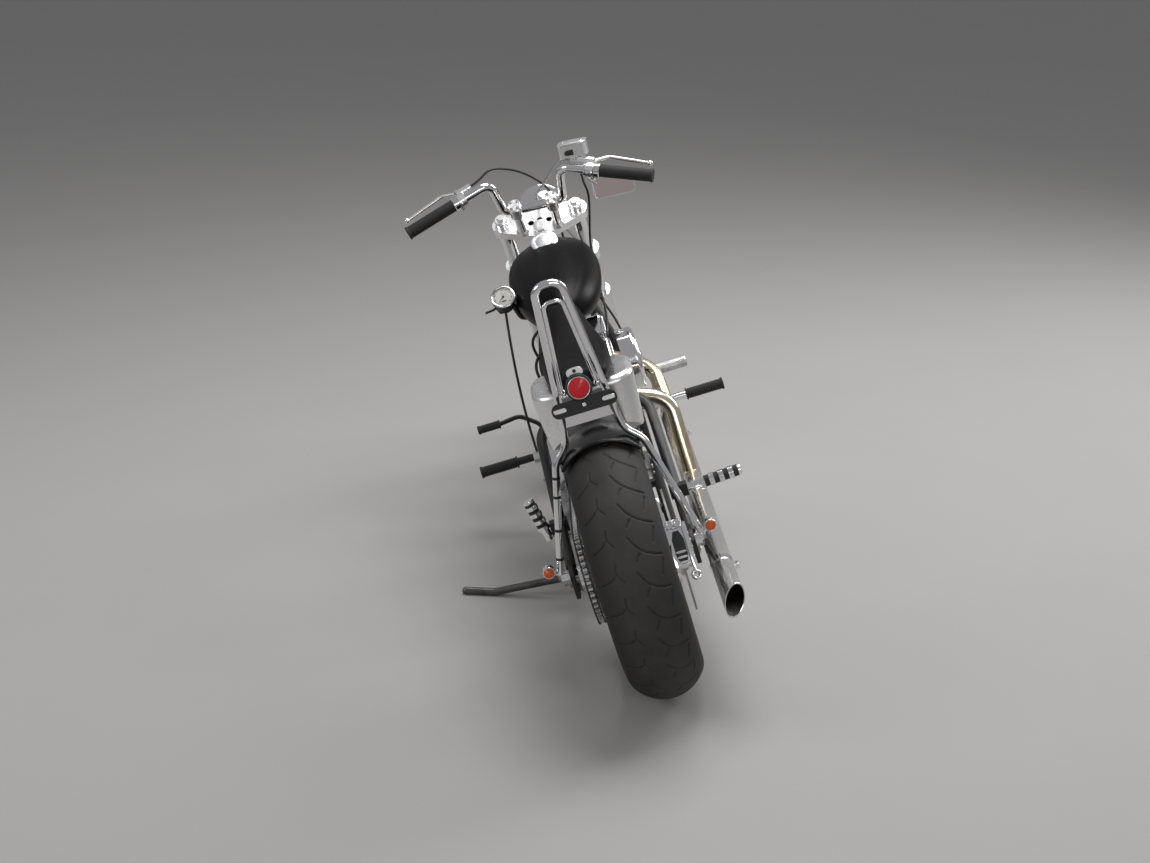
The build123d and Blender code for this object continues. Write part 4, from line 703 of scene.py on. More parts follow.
# Spoke nipples on the rims' wells, and valve stems
nipples = {"rear_wheel": {"name": "rearNipples", "axle": rearAxle, "rim": machine["rearRim"], "depth": 26,
                          "shift": 15.84},
           "front_wheel": {"name": "frontNipples", "axle": frontAxle, "rim": machine["frontRim"], "depth": 20,
                           "shift": 7.44}}
nippleRows = [(0, 0.2), (0, 3.4), (7, 3.4), (11, 2.4), (13, 2.3), (13, 0.2)]
valveRows = [(0, 0.2), (0, 4.6), (3, 4.6), (4, 3.4), (26, 3.2), (27, 2.2), (33, 2.2), (33, 0.2)]
for body, facts in nipples.items():
    shape = Shape()
    well = facts["rim"] - facts["depth"]
    for number, (y, z) in enumerate(circleOf(turnsOf(32))):
        out = np.array([0.0, y, z])
        shift = facts["shift"] if number % 2 else -facts["shift"]
        shape.lathe(nippleRows, facts["axle"] + out * well + (shift, 0, 0), -out, 10)
    shape.lathe(valveRows, facts["axle"] - (0, 0, well), (0, 0, 1), 14)
    build(facts["name"], shape, body, "chrome")

# Seat: a crowned pad, its sides full between a flat base and a welted upper edge
# Its rows, from the back: distance from the seat tube, half width, base and crest
seatFacts = {"rows": [(-212, 44, 701, 742), (-204, 58, 701, 748), (-190, 68, 701, 752), (-150, 76, 701, 756),
                      (-100, 82, 701, 752), (-60, 84, 701, 746), (0, 83, 701, 751), (60, 72, 703, 763),
                      (110, 58, 708, 784), (150, 47, 726, 803), (180, 39, 746, 812), (200, 30, 760, 806)],
             "fill": 0.75, "count": 56, "crown": 0.16, "dish": 5.0, "seam": 2.6, "welt": 2.4}
rows = np.array(seatFacts["rows"], float)
fine = np.linspace(rows[0, 0], rows[-1, 0], 84)
wide, floor, crest = (np.interp(fine, rows[:, 0], rows[:, k]) for k in (1, 2, 3))
kernel = np.hanning(9) / np.hanning(9).sum()
wide, floor, crest = (np.convolve(np.pad(values, 4, mode="edge"), kernel, "valid")
                      for values in (wide, floor, crest))
ends = np.clip(np.minimum(fine - fine[0], fine[-1] - fine) / 14, 0, 1)
swell = np.sqrt(1 - (1 - ends) ** 2)
turn = turnsOf(seatFacts["count"])
x = np.sign(np.cos(turn)) * np.abs(np.cos(turn)) ** 0.52
z = np.sign(np.sin(turn)) * np.abs(np.sin(turn)) ** 0.62
top = z > 0
crown = 1 - seatFacts["crown"] * x ** 2 * top
middle = (floor + crest) / 2
half = (crest - floor) / 2
dish = -seatFacts["dish"] * np.exp(-((fine + 50) / 60) ** 2)[:, None] * top * (1 - x ** 2)
seatX = (wide * (0.55 + 0.45 * swell))[:, None] * x
seatZ = middle[:, None] + (half * (0.62 + 0.38 * swell))[:, None] * z * crown + dish
seam = np.exp(-((np.abs(x) - 0.8) / 0.035) ** 2) * (z > 0.3)
seatZ -= seatFacts["seam"] * seam * swell[:, None]
seatPoints = np.stack([seatX, np.repeat(seatTubeY + fine[:, None], len(x), 1), seatZ], -1)
seat = Shape().rings(seatPoints)
cushion = build("seatCushion", seat, "frame", "seat_leather", crease=70, replaces=("seat",))
welt = Shape()
for sign in (1, -1):
    side = sign * wide * (0.55 + 0.45 * swell) * 0.985
    edge = np.column_stack([side, seatTubeY + fine, middle - half * 0.36])
    welt.tube(edge, seatFacts["welt"], 10)
build("seatWelt", welt, "frame", "seat_leather", looks["black_rubber"])
print("seat", len(cushion.data.polygons))


# Grips and peg rubbers: turned rubber with grooved ribs, rows of distance and radius
def ribbed(shape, start, end, radius, ribs, depth, rim=0.0):
    start, end = np.asarray(start, float), np.asarray(end, float)
    total = np.linalg.norm(end - start)
    rows = [(0, radius * 0.6), (0.5, radius + rim - 0.8), (2, radius + rim), (4.5, radius + rim)]
    pitch = (total - 12) / ribs
    for number in range(ribs):
        at = 6 + number * pitch
        rows += [(at, radius - depth), (at + pitch * 0.28, radius - depth), (at + pitch * 0.38, radius),
                 (at + pitch * 0.92, radius)]
    rows += [(total - 5, radius + rim), (total - 2, radius + rim), (total - 0.4, radius + rim - 1),
             (total, radius * 0.6)]
    return shape.lathe(rows, start, end - start, 28)


barCorners = [atFork(84, 0, clampAlong), atFork(98, 8, 229), atFork(336, -82, 209)]
gripWay = unit(barCorners[2] - barCorners[1])
gripFrom = barCorners[1] + (barCorners[2] - barCorners[1]) * 0.42
gripEnd = barCorners[2] + gripWay * 6
grips = Shape()
for side, keep in bothSides:
    ribbed(grips, gripFrom * keep, gripEnd * keep, 17.2, 26, 0.9, 1.6)
build("gripRubbers", grips, "fork", "black_rubber", replaces=("grips",), crease=28)

pegs = Shape()
for side, y, z in ((-1, controlY - 104, controlZ + 4), (1, controlY - 60, controlZ + 38)):
    ribbed(pegs, (side * 258, y, z), (side * 370, y, z), 15.5, 15, 1.7, 1.8)
shiftSpot = np.array([-281.0, controlY - 10, controlZ + 97])
ribbed(pegs, shiftSpot, shiftSpot - (68, 0, 0), 12, 8, 1.2, 0.8)
build("footPegRubbers", pegs, "frame", "black_rubber", replaces=("peg_rubbers",), crease=28)

# Brake pad: a knurled sleeve, its diamonds two crossed screw threads pressed together
pad = {"centre": np.array([196.0, controlY, controlZ + 116]), "length": 92.0, "radius": 15.6, "height": 1.3,
       "threads": 16, "slant": 0.42, "rows": 74, "around": 96}
along = np.linspace(0, pad["length"], pad["rows"])[:, None]
turn = turnsOf(pad["around"])
thread, slant = turn * pad["threads"] / 2, along * pad["slant"]
diamond = np.abs(np.sin(thread + slant)) * np.abs(np.sin(thread - slant))
size = pad["radius"] + pad["height"] * diamond * np.clip(np.minimum(along, pad["length"] - along) / 4, 0, 1)
knurl = pad["centre"] + np.stack([along + 0 * turn, size * np.cos(turn), size * np.sin(turn)], -1)
build("brakePadSleeve", Shape().rings(knurl), "frame", "alloy", knurled, crease=180)

# Passenger pegs: black bands between the chrome rings, and bright ends
staySlope = (560 - 345) / (400 - 30)
pegRoots = {"right": np.array([171.9, 140.0, 345 + (140 - 30) * staySlope])}
pegRoots["left"] = pegRoots["right"] - (352, 0, 26)
pegWays = {"right": np.array([1, 0, 0.05]), "left": np.array([-22.0, 6.0, 100.0])}
bands = Shape()
for step in range(4):
    spot = pegRoots["right"] + pegWays["right"] * (42 + step * 24)
    bands.lathe([(0, 10), (0, 13.8), (12, 13.8), (12, 10)], spot, pegWays["right"], 24)
    spot = pegRoots["left"] + pegWays["left"] * (0.38 + 0.19 * step)
    bands.lathe([(0, 10), (0, 13.6), (8.4, 13.6), (8.4, 10)], spot, pegWays["left"], 24)
build("passengerPegBands", bands, "frame", "black_rubber")
tips = Shape()
for side, reach in (("right", 129), ("left", 1.04)):
    spot = pegRoots[side] + pegWays[side] * reach
    tips.lathe([(-4, 0.4), (-4, 13.4), (1.5, 14), (4, 13), (5.5, 9), (6, 0.4)], spot, pegWays[side], 28)
build("passengerPegTips", tips, "frame", "chrome", brightAlloy)

# Reservoir lid and window, then the screws and pivots on the bar
bodyLow, bodyHigh = gripFrom - gripWay * 70, gripFrom - gripWay * 6
reservoir = bodyLow + gripWay * 14 + forkAhead * 30 + (0, 0, 32)
lidTurn = math.radians(-8)
lidSide = np.array([math.cos(lidTurn), math.sin(lidTurn), 0])
lidAhead = np.array([-math.sin(lidTurn), math.cos(lidTurn), 0])
lid = Shape().plate(reservoir + (0, 0, 16), (80, 52), (lidSide, lidAhead), 6, corner=9, edge=1.6)
lid.plate(reservoir + (0, 0, 21.6), (64, 36), (lidSide, lidAhead), 1.6, corner=6, edge=0.8)
build("reservoirLid", lid, "fork", "chrome", brightAlloy)
windowSpot = reservoir - lidAhead * 23.4 - (0, 0, 3)
window = Shape().plate(windowSpot, (44, 15), ((1, 0.14, 0), (0, 0, 1)), 1.4, corner=5)
build("reservoirWindow", window, "fork", "black_paint", satin)
barBolts = Shape()
for shift in (-26, 26):
    barBolts.capScrew(reservoir + lidSide * shift + (0, 0, 21.8), (0, 0, 1), 7, 2.4)
for side, keep in bothSides:
    spot = (gripFrom - gripWay * 20 - forkAhead * 19) * keep
    for shift in (-9, 9):
        barBolts.capScrew(spot + steerWay * shift, -forkAhead, 8, 6)
        for forward in (12, -12):
            barBolts.capScrew(atFork(side * 52 + shift, forward, clampAlong + 14), steerWay, 9, 9)
    barBolts.bolt((bodyHigh + forkAhead * 34) * keep + steerWay * 5, steerWay, 10, 6)
build("barFasteners", barBolts, "fork", "steel")

# Clamp blocks under the bar, the top yoke's caps and its black wells
yokeTop = Shape()
for side in (-1, 1):
    clampSpot, tubeSpot = atFork(side * 52, 0, clampAlong - 17), atFork(side * 107, 45, 29)
    yokeTop.plate(clampSpot, (36, 46), ((1, 0, 0), forkAhead), 38, corner=12, edge=3)
    yokeTop.lathe([(0, 0.5), (0, 20.5), (5, 20.5), (8, 17.5), (8, 12)], tubeSpot, steerWay, 36)
    yokeTop.lathe([(7, 0.5), (7, 11.5), (13, 11.5), (15, 9.8), (15, 0.5)], tubeSpot, steerWay, 6)
    yokeTop.lathe([(0, 13), (0, 18), (4, 19), (10, 14.5), (12, 13)], atFork(side * 52, 0, 13), steerWay, 28)
yokeTop.lathe([(0, 10), (0, 20), (2.5, 20.5), (3, 18), (3, 8)], atFork(0, 0, 25), steerWay, 32)
build("yokeCaps", yokeTop, "fork", "chrome", brightAlloy)
wells = Shape()
wellRows = [(-9, 0.3), (-9, 8.4), (6, 8.4), (6, 7.9), (-7, 7.9), (-7, 0.4)]
for x, ahead in ((-26, 26), (0, 32), (26, 26)):
    wells.lathe(wellRows, atFork(x, ahead, 6), steerWay, 28)
build("yokeWells", wells, "fork", "black_paint", satin)

# Collars beside the grips
housing = Shape()
for side, keep in bothSides:
    start = (gripFrom - gripWay * 9) * keep
    housing.lathe([(0, 13), (0, 18.5), (1.5, 20), (14, 20), (16, 18), (16, 13)], start, gripWay * keep, 32)
build("gripCollars", housing, "fork", "chrome")

# Speedometer: white dial with ticks and a needle under a domed glass, in a bright bezel
dialFacts = {"centre": (-146.0, 12.0, 512.0), "way": (0.1, -0.72, 0.7), "ticks": 33, "sweep": 270,
             "zero": 225, "needle": 222}
dialCentre = crank + dialFacts["centre"]
dialWay = unit(dialFacts["way"])
dialRight = unit(np.array([1.0, 0, 0]) - dialWay * dialWay[0])
dialUp = np.cross(dialWay, dialRight)
dialTop = dialCentre + dialWay * 14
faceLook = Finish("dialFace")
faceShade = faceLook.mix(faceLook.noise(90.0), (0.62, 0.6, 0.54), (0.52, 0.5, 0.45))
faceLook.set(Base_Color=faceShade, Roughness=0.5)
face = Shape().lathe([(0, 0.1), (0, 27.2), (0.5, 27.2), (0.5, 0.1)], dialTop, dialWay, 64)
build("dialPlate", face, "frame", "chrome", faceLook.material)


# A direction over the dial by its turn in degrees
def dialOut(degrees):
    return dialRight * math.cos(math.radians(degrees)) + dialUp * math.sin(math.radians(degrees))


# A bar on the dial that lies along a direction: its height above the face, its middle's reach and its size
def dialBar(shape, out, height, reach, size, thickness, edge):
    spot = dialTop + dialWay * height + out * reach
    shape.plate(spot, size, (out, np.cross(dialWay, out)), thickness, edge=edge, around=12)


marks = Shape()
for number in range(dialFacts["ticks"]):
    out = dialOut(dialFacts["zero"] - number * dialFacts["sweep"] / (dialFacts["ticks"] - 1))
    reach, size = (21.5, (6.4, 1.5)) if number % 4 == 0 else (23, (3.6, 0.8))
    dialBar(marks, out, 0.6, reach, size, 0.35, 0.05)
dialBar(marks, dialOut(dialFacts["needle"]), 1.4, 7, (25, 1.7), 0.6, 0.1)
marks.lathe([(0.5, 0.1), (0.5, 3.4), (2.6, 3.2), (3, 0.1)], dialTop, dialWay, 20)
marks.plate(dialTop + dialWay * 0.6 - dialUp * 12, (13, 4.4), (dialRight, dialUp), 0.4, edge=0.1)
build("dialMarks", marks, "frame", "black_paint", satin)
domeRows = [(1.0, 28), (4.2, 28), (5.6, 22), (6.4, 12), (6.6, 0.2)]
dome = Shape().lathe(domeRows, dialTop - dialWay * 0.4, dialWay, 48)
build("dialGlass", dome, "frame", "clear_glass", replaces=("speedometer_glass",))
bezel = Shape().hoop(dialTop + dialWay * 2.6, dialWay, 30.2, 2.9, 72, 14)
bezel.hoop(dialTop - dialWay * 13.4, dialWay, 29.2, 1.6, 72, 10)
build("dialBezel", bezel, "frame", "chrome")
armPath = dialCentre + np.array([(-16, 2, -12), (-34, 1, -19), (-57, 0, -21)])
dialArm = Shape().tube(armPath, 3.2, 14)
armKnob = [(-2, 0.3), (-2, 6), (2, 6), (4, 4.6), (4, 0.3)]
dialArm.lathe(armKnob, dialCentre + (-16, 2, -30), (-0.5, -0.8, 0.1), 24)
build("dialArm", dialArm, "frame", "black_paint", satin)

# Tail lamp: ridged red lens in a black ring, chrome edge and tab, chrome slot inserts
tailWay = unit((0, -1, 0.2))
tailUp = np.cross(tailWay, (1, 0, 0))
tailCentre = np.array([0.0, -50.0, crownZ + 132])
bandSpot = np.array([0.0, -50.0, crownZ + 88])


# A ridged lens: rows that fall a little between round crests, on a shallow dome
def ridges(crests, heights, width, fall):
    rows = []
    for radius, height in zip(crests, heights):
        rows += [(height - fall[0], radius + width[0]), (height, radius), (height, radius - width[1]),
                 (height - fall[1], radius - width[2])]
    return rows


crests = 21.4 - 2.9 * np.arange(7)
rows = [(-1, 0.5), (-1, 23), (1.2, 23.2)]
rows += ridges(crests, 5.2 + 2.6 * (1 - (crests / 23) ** 2), (0.9, 1.1, 1.6), (1.0, 1.0)) + [(8, 0.6)]
lens = Shape().lathe(rows, tailCentre + tailWay * 26.5, tailWay, 64)
build("tailLensRidged", lens, "frame", "red_lens", replaces=("tail_lens",))
surround = Shape().hoop(tailCentre + tailWay * 27.5, tailWay, 26.4, 3.1, 72, 14)
surround.hoop(tailCentre + tailWay * 12, tailWay, 28.6, 2.2, 72, 12)
build("tailSurround", surround, "frame", "black_paint", satin)
trim = Shape().hoop(tailCentre + tailWay * 30.6, tailWay, 24.2, 0.9, 72, 10)
tabSpot = tailCentre + tailUp * 33 + tailWay * 5.2
trim.plate(tabSpot, (38, 22), ((1, 0, 0), tailUp), 1.2, corner=9, edge=0.3)
for x in (-56, 56):
    trim.plate(bandSpot + (x, 0, 0) + tailWay, (29, 10.4), ((1, 0, 0), tailUp), 4.8, power=0.5, edge=0.8)
trim.capScrew(bandSpot + tailWay * 5, tailWay, 9, 4)
build("tailTrim", trim, "frame", "chrome", brightAlloy)
holeSpot = tabSpot + tailUp * 3 + tailWay * 1.1
holes = Shape().lathe([(0, 0.1), (0, 4.2), (0.4, 4.2), (0.4, 0.1)], holeSpot, tailWay, 24)
build("tailTabHole", holes, "frame", "black_paint", satin)

# Indicator lenses: small domed amber lenses with rings
indicator = {"x": 193.0, "y": -52.0, "z": 385.0}
crests = 11 - 2.7 * np.arange(4)
rows = [(-2, 0.5), (-2, 12), (4, 12)]
rows += ridges(crests, 7.4 - 2.8 * (crests / 12) ** 2, (0.7, 1.0, 1.5), (0.8, 0.7)) + [(7.2, 0.4)]
amber, rims = Shape(), Shape()
for side in (-1, 1):
    centre = np.array([side * indicator["x"], indicator["y"], indicator["z"]])
    amber.lathe(rows, centre, (0, -1, 0), 40)
    rims.hoop(centre - (0, 2, 0), (0, 1, 0), 13.2, 1.5, 48, 10)
build("indicatorLensesRidged", amber, "frame", "amber_lens", replaces=("indicator_lenses",))
build("indicatorRims", rims, "frame", "chrome")

# Black ties on the left strut, screws on the stays' plates, axle nuts
kneeSpot, footSpot = np.array([-104.0, -10.0, 622.0]), np.array([-170.0, -34.0, 366.0])
ties = Shape()
for share in (0.13, 0.3, 0.6, 0.86):
    spot = kneeSpot + (footSpot - kneeSpot) * share
    ties.lathe([(-3, 8.2), (-3, 9.4), (3, 9.4), (3, 8.2)], spot, footSpot - kneeSpot, 24)
build("strutTies", ties, "frame", "black_rubber", satin)
nuts = Shape()
for side in (-1, 1):
    nuts.bolt((side * 151.2, *rearAxle[1:]), (side, 0, 0), 30, 9)
    nuts.bolt((side * 171.4, -34, 354), (side, 0, 0), 12, 6)
    for y, z in ((52, 352), (58, 300), (-24, 345)):
        nuts.capScrew((side * 151.2, y, z), (side, 0, 0), 9, 4)
build("rearFasteners", nuts, "frame", "steel")

# Engine: two cylinders in a vee, their head bolts, and the screws round the covers
vee = math.radians(22.5)
camCover = crank + (104, 6, -6)


# A cylinder's own directions, up it and ahead of it, for the front one or the rear one
def cylinderWays(side):
    turn = vee * side
    return np.array([0.0, math.sin(turn), math.cos(turn)]), np.array([0.0, math.cos(turn), -math.sin(turn)])


engineBolts = Shape()
for side in (-1, 1):
    up, ahead = cylinderWays(side)
    for x in (-38, 78):
        for forward in (-36, 36):
            engineBolts.capScrew(crank + up * 381.4 + (x, 0, 0) + ahead * forward, up, 12, 6)
    for x in (-44, 44):
        engineBolts.bolt(crank + up * 266 + (x, 0, 0) + ahead * 62 * side, up, 12, 7)
for turn in np.radians(-150 + 41 * np.arange(9)):
    engineBolts.capScrew(camCover + (0, 74 * math.cos(turn), 74 * math.sin(turn)), (1, 0, 0), 9, 4)
primaryScrews = [crank + (0, y, z) for y, z in ((78, 0), (20, 80), (-60, 92), (-60, -96), (30, -80))]
primaryScrews += [gearbox + (0, y, z) for y, z in ((-60, 90), (-96, 26), (-90, -54), (-30, -96))]
for spot in primaryScrews:
    engineBolts.capScrew(spot - (172, 0, 0), (-1, 0, 0), 9, 4)
build("engineFasteners", engineBolts, "frame", "steel")

# Rings and raised caps on the covers and the air cleaner
coverRings = Shape().hoop(crank - (172, 0, 0), (1, 0, 0), 52, 3.4, 72, 12)
airCleaner = crank + (158, 0, 256)
for rows, spot, x, sides in (
        ([(0, 0.5), (0, 50), (3, 50), (5, 46), (6, 20), (6, 0.5)], crank - (171, 0, 0), -1, 64),
        ([(0, 0.5), (0, 40), (4, 40), (6, 36), (7, 0.5)], gearbox - (171, 0, 0), -1, 64),
        ([(0, 0.5), (0, 34), (3, 34), (5, 30), (6, 10), (6, 0.5)], camCover, 1, 64),
        ([(0, 0.5), (0, 16), (4, 16), (7, 12), (8, 0.5)], airCleaner, 1, 40)):
    coverRings.lathe(rows, spot, (x, 0, 0), sides)
for radius in (60, 44, 28):
    coverRings.hoop(airCleaner, (1, 0, 0), radius, 2.0, 72, 10)
build("coverRings", coverRings, "frame", "chrome")

# Spark plugs' caps with their leads, which bow outwards on the way up
plugs = Shape()
for side in (-1, 1):
    base = crank - (59, 0, 0) + cylinderWays(side)[0] * 302
    plugs.lathe([(0, 0.3), (0, 8), (16, 8), (16, 9.5), (44, 8), (50, 4), (50, 0.3)], base, (-1, 0, 0.25), 20)
    start = base + (-48, 0, 12)
    t = np.linspace(0, 1, 24)[:, None]
    path = start + t * (28, -side * 20, 90) + np.sin(t * np.pi) * (-18, 0, 10)
    plugs.tube(path, 4, 10, guide=(0, 1, 0))
build("sparkLeads", plugs, "frame", "black_rubber", satin)

# Straight pipe: its wall runs to a slash cut and turns back inside, sooty within, and a black disc deep in the
# bore is painted shade
pipeStart = crank + (196, 120, 30)
pipeEnd = np.array([196.0, -170.0, 236.0])
pipeWay = unit(pipeEnd - pipeStart)
slash = {"way": unit((0.72, -0.62, 0.3)), "spot": pipeEnd + (0, 10, 0), "outer": 28.0, "inner": 25.6,
         "sides": 72}
outer, inner = slash["outer"], slash["inner"]
pipeRing = circleOf(turnsOf(slash["sides"])) @ np.stack(acrossOf(pipeWay))


# A ring of the pipe's wall: at a distance back from the cut, all the way round
def cutRing(radius, back):
    ring = pipeStart + pipeRing * radius
    reach = (slash["spot"] - ring) @ slash["way"] / (pipeWay @ slash["way"])
    return ring + pipeWay * (reach - back)[:, None]


outerRows = [pipeStart + pipeRing * (outer - 1), pipeStart + pipeRing * outer + pipeWay * 2]
outerRows += [pipeStart + pipeRing * outer + pipeWay * reach for reach in np.linspace(60, 960, 16)]
outerRows += [cutRing(outer, 3), cutRing(outer, 0.5), cutRing(outer - 0.6, 0), cutRing(inner + 0.4, 0),
              cutRing(inner, 0.6)]
pipe = Shape().rings(np.stack(outerRows))
pipe.faces.pop()
build("straightPipe", pipe, "frame", "chrome", pipeChrome, replaces=("exhaust_pipe",))
# The black lining is soot; the disc that closes it 205 mm inside the bore is painted shade where the pipe runs on
liningAndShadeDisc = Shape().rings(np.stack([cutRing(inner, 0.6), cutRing(inner - 0.2, 40), cutRing(inner - 0.4, 200),
                                 cutRing(20, 205)]))
liningAndShadeDisc.faces.pop(1)
build("pipeLiningAndShadeDisc", liningAndShadeDisc, "frame", "black_paint", satin, weld=False)
clamps = Shape()
for share, wide in ((0.16, 9), (0.86, 5)):
    spot = pipeEnd + (pipeStart - pipeEnd) * share
    clamps.lathe([(-wide, 27.8), (-wide, 29.6), (wide, 29.6), (wide, 27.8)], spot, pipeWay, 40, loop=True)
    clamps.plate(spot + (28, 0, -6), (wide * 2, 14), ((0, 1, 0), (0, 0, 1)), 9, corner=2)
build("pipeClamps", clamps, "frame", "chrome")

# Rear brake: bright inner arm, a black plate of painted shade in the slot, thin outer bar with an eye, bolts that
# face back
brakeTurn = math.radians(62)
brakeAlong = np.array([0.0, math.cos(brakeTurn), math.sin(brakeTurn)])
brakeOut = np.array([0.0, -math.sin(brakeTurn), math.cos(brakeTurn)])
brakeWays = (brakeAlong, brakeOut)


# By its distances across, round the disc and out from the axle
def atBrake(x, around, out):
    return rearAxle + (x, 0, 0) + brakeAlong * around + brakeOut * out


brake = Shape()
armOutline = [(-86, 128), (-70, 156), (-46, 164), (36, 164), (70, 153), (118, 138), (122, 126), (70, 128),
              (30, 112), (-50, 110)]
barOutline = [(-74, 152), (-70, 164), (44, 165), (50, 158), (44, 148), (-62, 146)]
topOutline = [(34, 122), (34, 164), (60, 164), (60, 122)]
brake.slab(armOutline, atBrake(84.6, 0, 0), brakeWays, 11.4, 1.6)
brake.slab(barOutline, atBrake(126.5, 0, 0), brakeWays, 6, 1.4)
brake.slab(topOutline, atBrake(96, 0, 0), brakeWays, 30, 2.4)
brake.hoop(atBrake(129.5, -74, 158), brakeOut, 8.5, 3.6, 40, 14)
for x in (101.5, 119):
    brake.lathe([(0, 0.3), (0, 9.5), (6, 9.5), (8, 8.4), (8, 4.5), (5, 4)], atBrake(x, 48, 163), brakeOut, 28)
for around in (-34, 20):
    brake.capScrew(atBrake(132.5, around, 154), (1, 0, 0), 11, 6)
build("brakeArm", brake, "frame", "chrome")
acrossWays = ((1, 0, 0), brakeAlong)
# A black plate across the open gap between the arm and the bar: painted shade where the slot is open
slotShadeOutline = [(98, -44), (98, 32), (125, 32), (125, -44)]
slot = Shape().slab(slotShadeOutline, atBrake(0, 0, 158.6), acrossWays, 2.0, 0.3, 1)
build("brakeSlotShade", slot, "frame", "black_paint", satin)
ribs = Shape()
ribOutline = [(99, -3), (99, 3), (124, 3), (124, -3)]
for around in (-40, -28, -16):
    ribs.slab(ribOutline, atBrake(0, around, 160), acrossWays, 2.6, 0.8, 1)
build("brakeRibs", ribs, "frame", "alloy")

# Tank cap: a bright lid with a raised ring, leaning back on its neck
capSpot = np.array([0.0, machine["capY"], machine["capZ"]])
capWay = unit((0, -0.62, 1))
capRows = [(-26, 0.4), (-26, 31), (-3, 31), (-1, 36.5), (1, 38), (6, 38), (8.5, 36), (9, 32), (7.6, 30),
           (7.6, 24), (9.4, 22.5), (10.4, 14), (10.6, 0.4)]
cap = Shape().lathe(capRows, capSpot, capWay, 64)
build("tankCapLid", cap, "frame", "chrome", brightAlloy, replaces=("tank_cap",))

# Headlamp: an open reflector bowl and its bulb behind a thin domed lens in a rim
lampCentre = atFork(0, 157, -95)
lampWay = unit((0, 1, -0.03))
bowlTurn = np.linspace(0, math.pi / 2, 9)
bowlRows = [(17.6 + 9 * (1 - math.cos(turn)) ** 1.2, 2 + 62.5 * math.sin(turn)) for turn in bowlTurn]
bowl = Shape().lathe(bowlRows, lampCentre, lampWay, 64)
bowl.faces.pop()
bulb = Shape().lathe([(17, 0.3), (17, 8), (21, 8), (24, 5), (25, 0.3)], lampCentre, lampWay, 28)
build("lampReflector", bowl, "fork", "chrome", looks["mirror_glass"])
build("lampBulb", bulb, "fork", "chrome", looks["alloy"])
domeTurn = np.linspace(0, math.pi / 2, 10)
domeRows = [(27, 66.4), (28.4, 66.4)]
domeRows += [(29 + 7 * math.sin(turn), 66.2 * math.cos(turn) + 0.2) for turn in domeTurn]
lens = Shape().lathe(domeRows, lampCentre, lampWay, 72)
lens.faces.pop(1)
build("lampLens", lens, "fork", "clear_glass", replaces=("headlamp_glass",))
lampRim = Shape().hoop(lampCentre + lampWay * 33, lampWay, 70, 4.6, 80, 14)
build("lampRim", lampRim, "fork", "chrome")


# A spot by its upright distances from the top yoke's middle
def fromHead(x, y, z):
    return steerSpot + (x, y, z)


# Control cables: a smooth line through the part's own route, round in section, bent across the steering
perchEnd = steered((bodyLow + gripWay * 20 + forkAhead * 30) * flip)
perchOut = spun(steerSpot + gripWay * (1, -1, -1), steerSpot, steerWay, machine["steerTurn"]) - steerSpot
throttleStart = steered(gripFrom - gripWay * 52 + forkAhead * 30 - steerWay * 15.3)
cableFacts = {"radius": 0.00325, "steps": 14, "around": 5}
cableRoutes = {
    "clutchCable": [perchEnd, perchEnd + perchOut * 24, fromHead(-92, -84, 226), fromHead(-62, -74, 222),
                    fromHead(-6, -50, 190), fromHead(42, -20, 134), atFork(58, 86, 40), atFork(58, 86, -20),
                    atFork(50, 40, -78), atFork(54, -10, -120), fromHead(80, 36, -172),
                    fromHead(106, 22, -250), fromHead(132, 10, -330), crank + (140, 318, 182),
                    crank + (136, 272, 126), crank + (124, 196, 108), crank + (112, 96, 114),
                    crank + (108, 0, 126), crank + (102, -92, 130), crank + (74, -150, 122),
                    crank + (62, -164, 94)],
    "throttleCable": [throttleStart, throttleStart - steerWay * 24, fromHead(150, -72, 112),
                      fromHead(156, -58, 78), fromHead(141, -44, 14), fromHead(122, -24, -56),
                      fromHead(112, -50, -122), fromHead(110, -128, -182), crank + (108, 124, 374),
                      crank + (100, 46, 352), crank + (86, 6, 318), crank + (80, 0, 275.5)],
}
for name, route in cableRoutes.items():
    curve = bpy.data.curves.new(name + "Line", "CURVE")
    curve.dimensions = "3D"
    spline = curve.splines.new("NURBS")
    spots = place(np.array(route))
    spline.points.add(len(spots) - 1)
    spline.points.foreach_set("co", np.column_stack([spots, np.ones(len(spots))]).ravel())
    spline.order_u = 3
    spline.use_endpoint_u = True
    spline.resolution_u = cableFacts["steps"]
    print(name, "length", round(spline.calc_length(), 3))
    curve.bevel_depth = cableFacts["radius"]
    curve.bevel_resolution = cableFacts["around"]
    curve.use_fill_caps = True
    holder = bpy.data.objects.new(name + "Line", curve)
    mesh = bpy.data.meshes.new_from_object(holder)
    mesh.name = name
    bpy.data.objects.remove(holder)
    mesh.materials.clear()
    mesh.materials.append(looks["cable_black"])
    mesh.polygons.foreach_set("use_smooth", np.ones(len(mesh.polygons), bool))
    cable = bpy.data.objects.new(name, mesh)
    scene.collection.objects.link(cable)
    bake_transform(cable)
    if name == "clutchCable":
        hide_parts("control_cables")

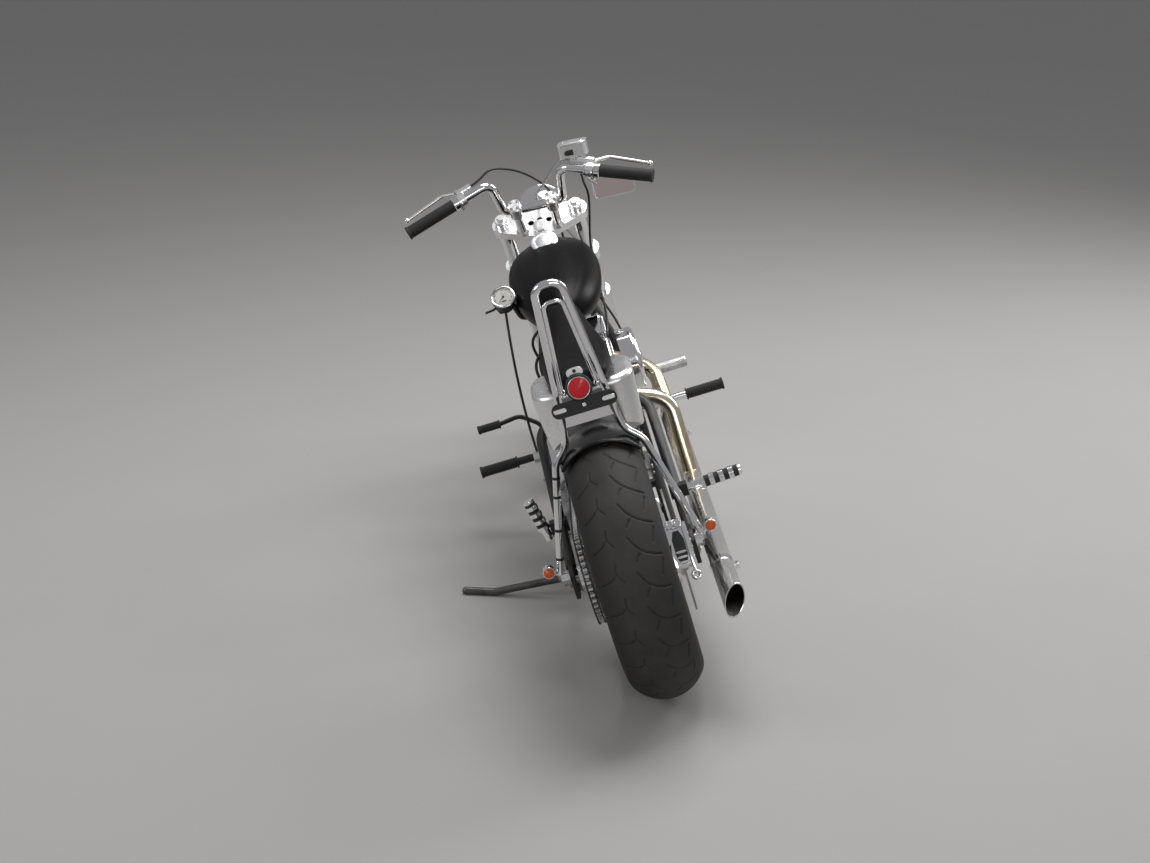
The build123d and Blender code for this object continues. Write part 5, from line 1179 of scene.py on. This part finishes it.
# Floor, backdrop, lights, camera
studio = {"floorSize": 60.0, "floorShade": (0.36, 0.352, 0.345), "skyShade": (0.5, 0.5, 0.51),
          "skyPower": 0.62}
reach = studio["floorSize"] / 2
floorMesh = bpy.data.meshes.new("floor")
floorCorners = [(-reach, -reach, 0), (reach, -reach, 0), (reach, reach, 0), (-reach, reach, 0)]
floorMesh.from_pydata(floorCorners, [], [(0, 1, 2, 3)])
floorPiece = bpy.data.objects.new("floor", floorMesh)
scene.collection.objects.link(floorPiece)
floorLook = Finish("paleFloor")
floorGrain = floorLook.noise(2.0, 6.0, 0.6)
floorTone = floorLook.mix(floorGrain, studio["floorShade"], scaled(studio["floorShade"], 0.94))
floorLook.set(Base_Color=floorTone, Roughness=0.85)
floorMesh.materials.append(floorLook.material)

world = bpy.data.worlds.new("studio")
scene.world = world
world.use_nodes = True
backdrop = world.node_tree.nodes["Background"]
backdrop.inputs[0].default_value = (*studio["skyShade"], 1)
backdrop.inputs[1].default_value = studio["skyPower"]


# A rectangular lamp at a spot that looks at its aim
def softLamp(name, spot, aim, width, power):
    data = bpy.data.lights.new(name, "AREA")
    data.shape = "RECTANGLE"
    data.size, data.size_y = width
    data.energy = power
    lamp = bpy.data.objects.new(name, data)
    scene.collection.objects.link(lamp)
    lamp.location = spot
    lamp.rotation_mode = "QUATERNION"
    lamp.rotation_quaternion = (Vector(aim) - Vector(spot)).to_track_quat("-Z", "Y")


softLamp("topLight", (0.6, 0.4, 4.2), (0, 0, 0.4), (3.0, 2.0), 140)
softLamp("leftLight", (-4.0, -1.6, 2.6), (0, 0, 0.5), (2.2, 1.6), 52)
softLamp("rightLight", (3.6, 1.8, 2.8), (0, 0, 0.5), (1.6, 2.4), 80)
softLamp("rearLight", (1.6, -5.4, 2.3), (0.1, 0, 0.6), (3.4, 1.0), 46)

cameraFit = {"lens": 52.94, "yaw": -0.0664, "pitch": 0.3469, "offset": (-0.3777, -3.5916, 1.6292)}
cameraData = bpy.data.cameras.new("camera")
cameraData.lens = cameraFit["lens"]
cameraData.sensor_width = 36.0
cameraData.sensor_fit = "HORIZONTAL"
camera = bpy.data.objects.new("camera", cameraData)
scene.collection.objects.link(camera)
camera.location = rearHub + Vector(cameraFit["offset"])
yaw, pitch = cameraFit["yaw"], cameraFit["pitch"]
lookWay = Vector((-math.sin(yaw) * math.cos(pitch), math.cos(yaw) * math.cos(pitch), -math.sin(pitch)))
camera.rotation_mode = "QUATERNION"
camera.rotation_quaternion = lookWay.to_track_quat("-Z", "Y")
cameraData.clip_start = 0.05
cameraData.clip_end = 200.0
scene.camera = camera
scene.view_settings.view_transform = "Standard"
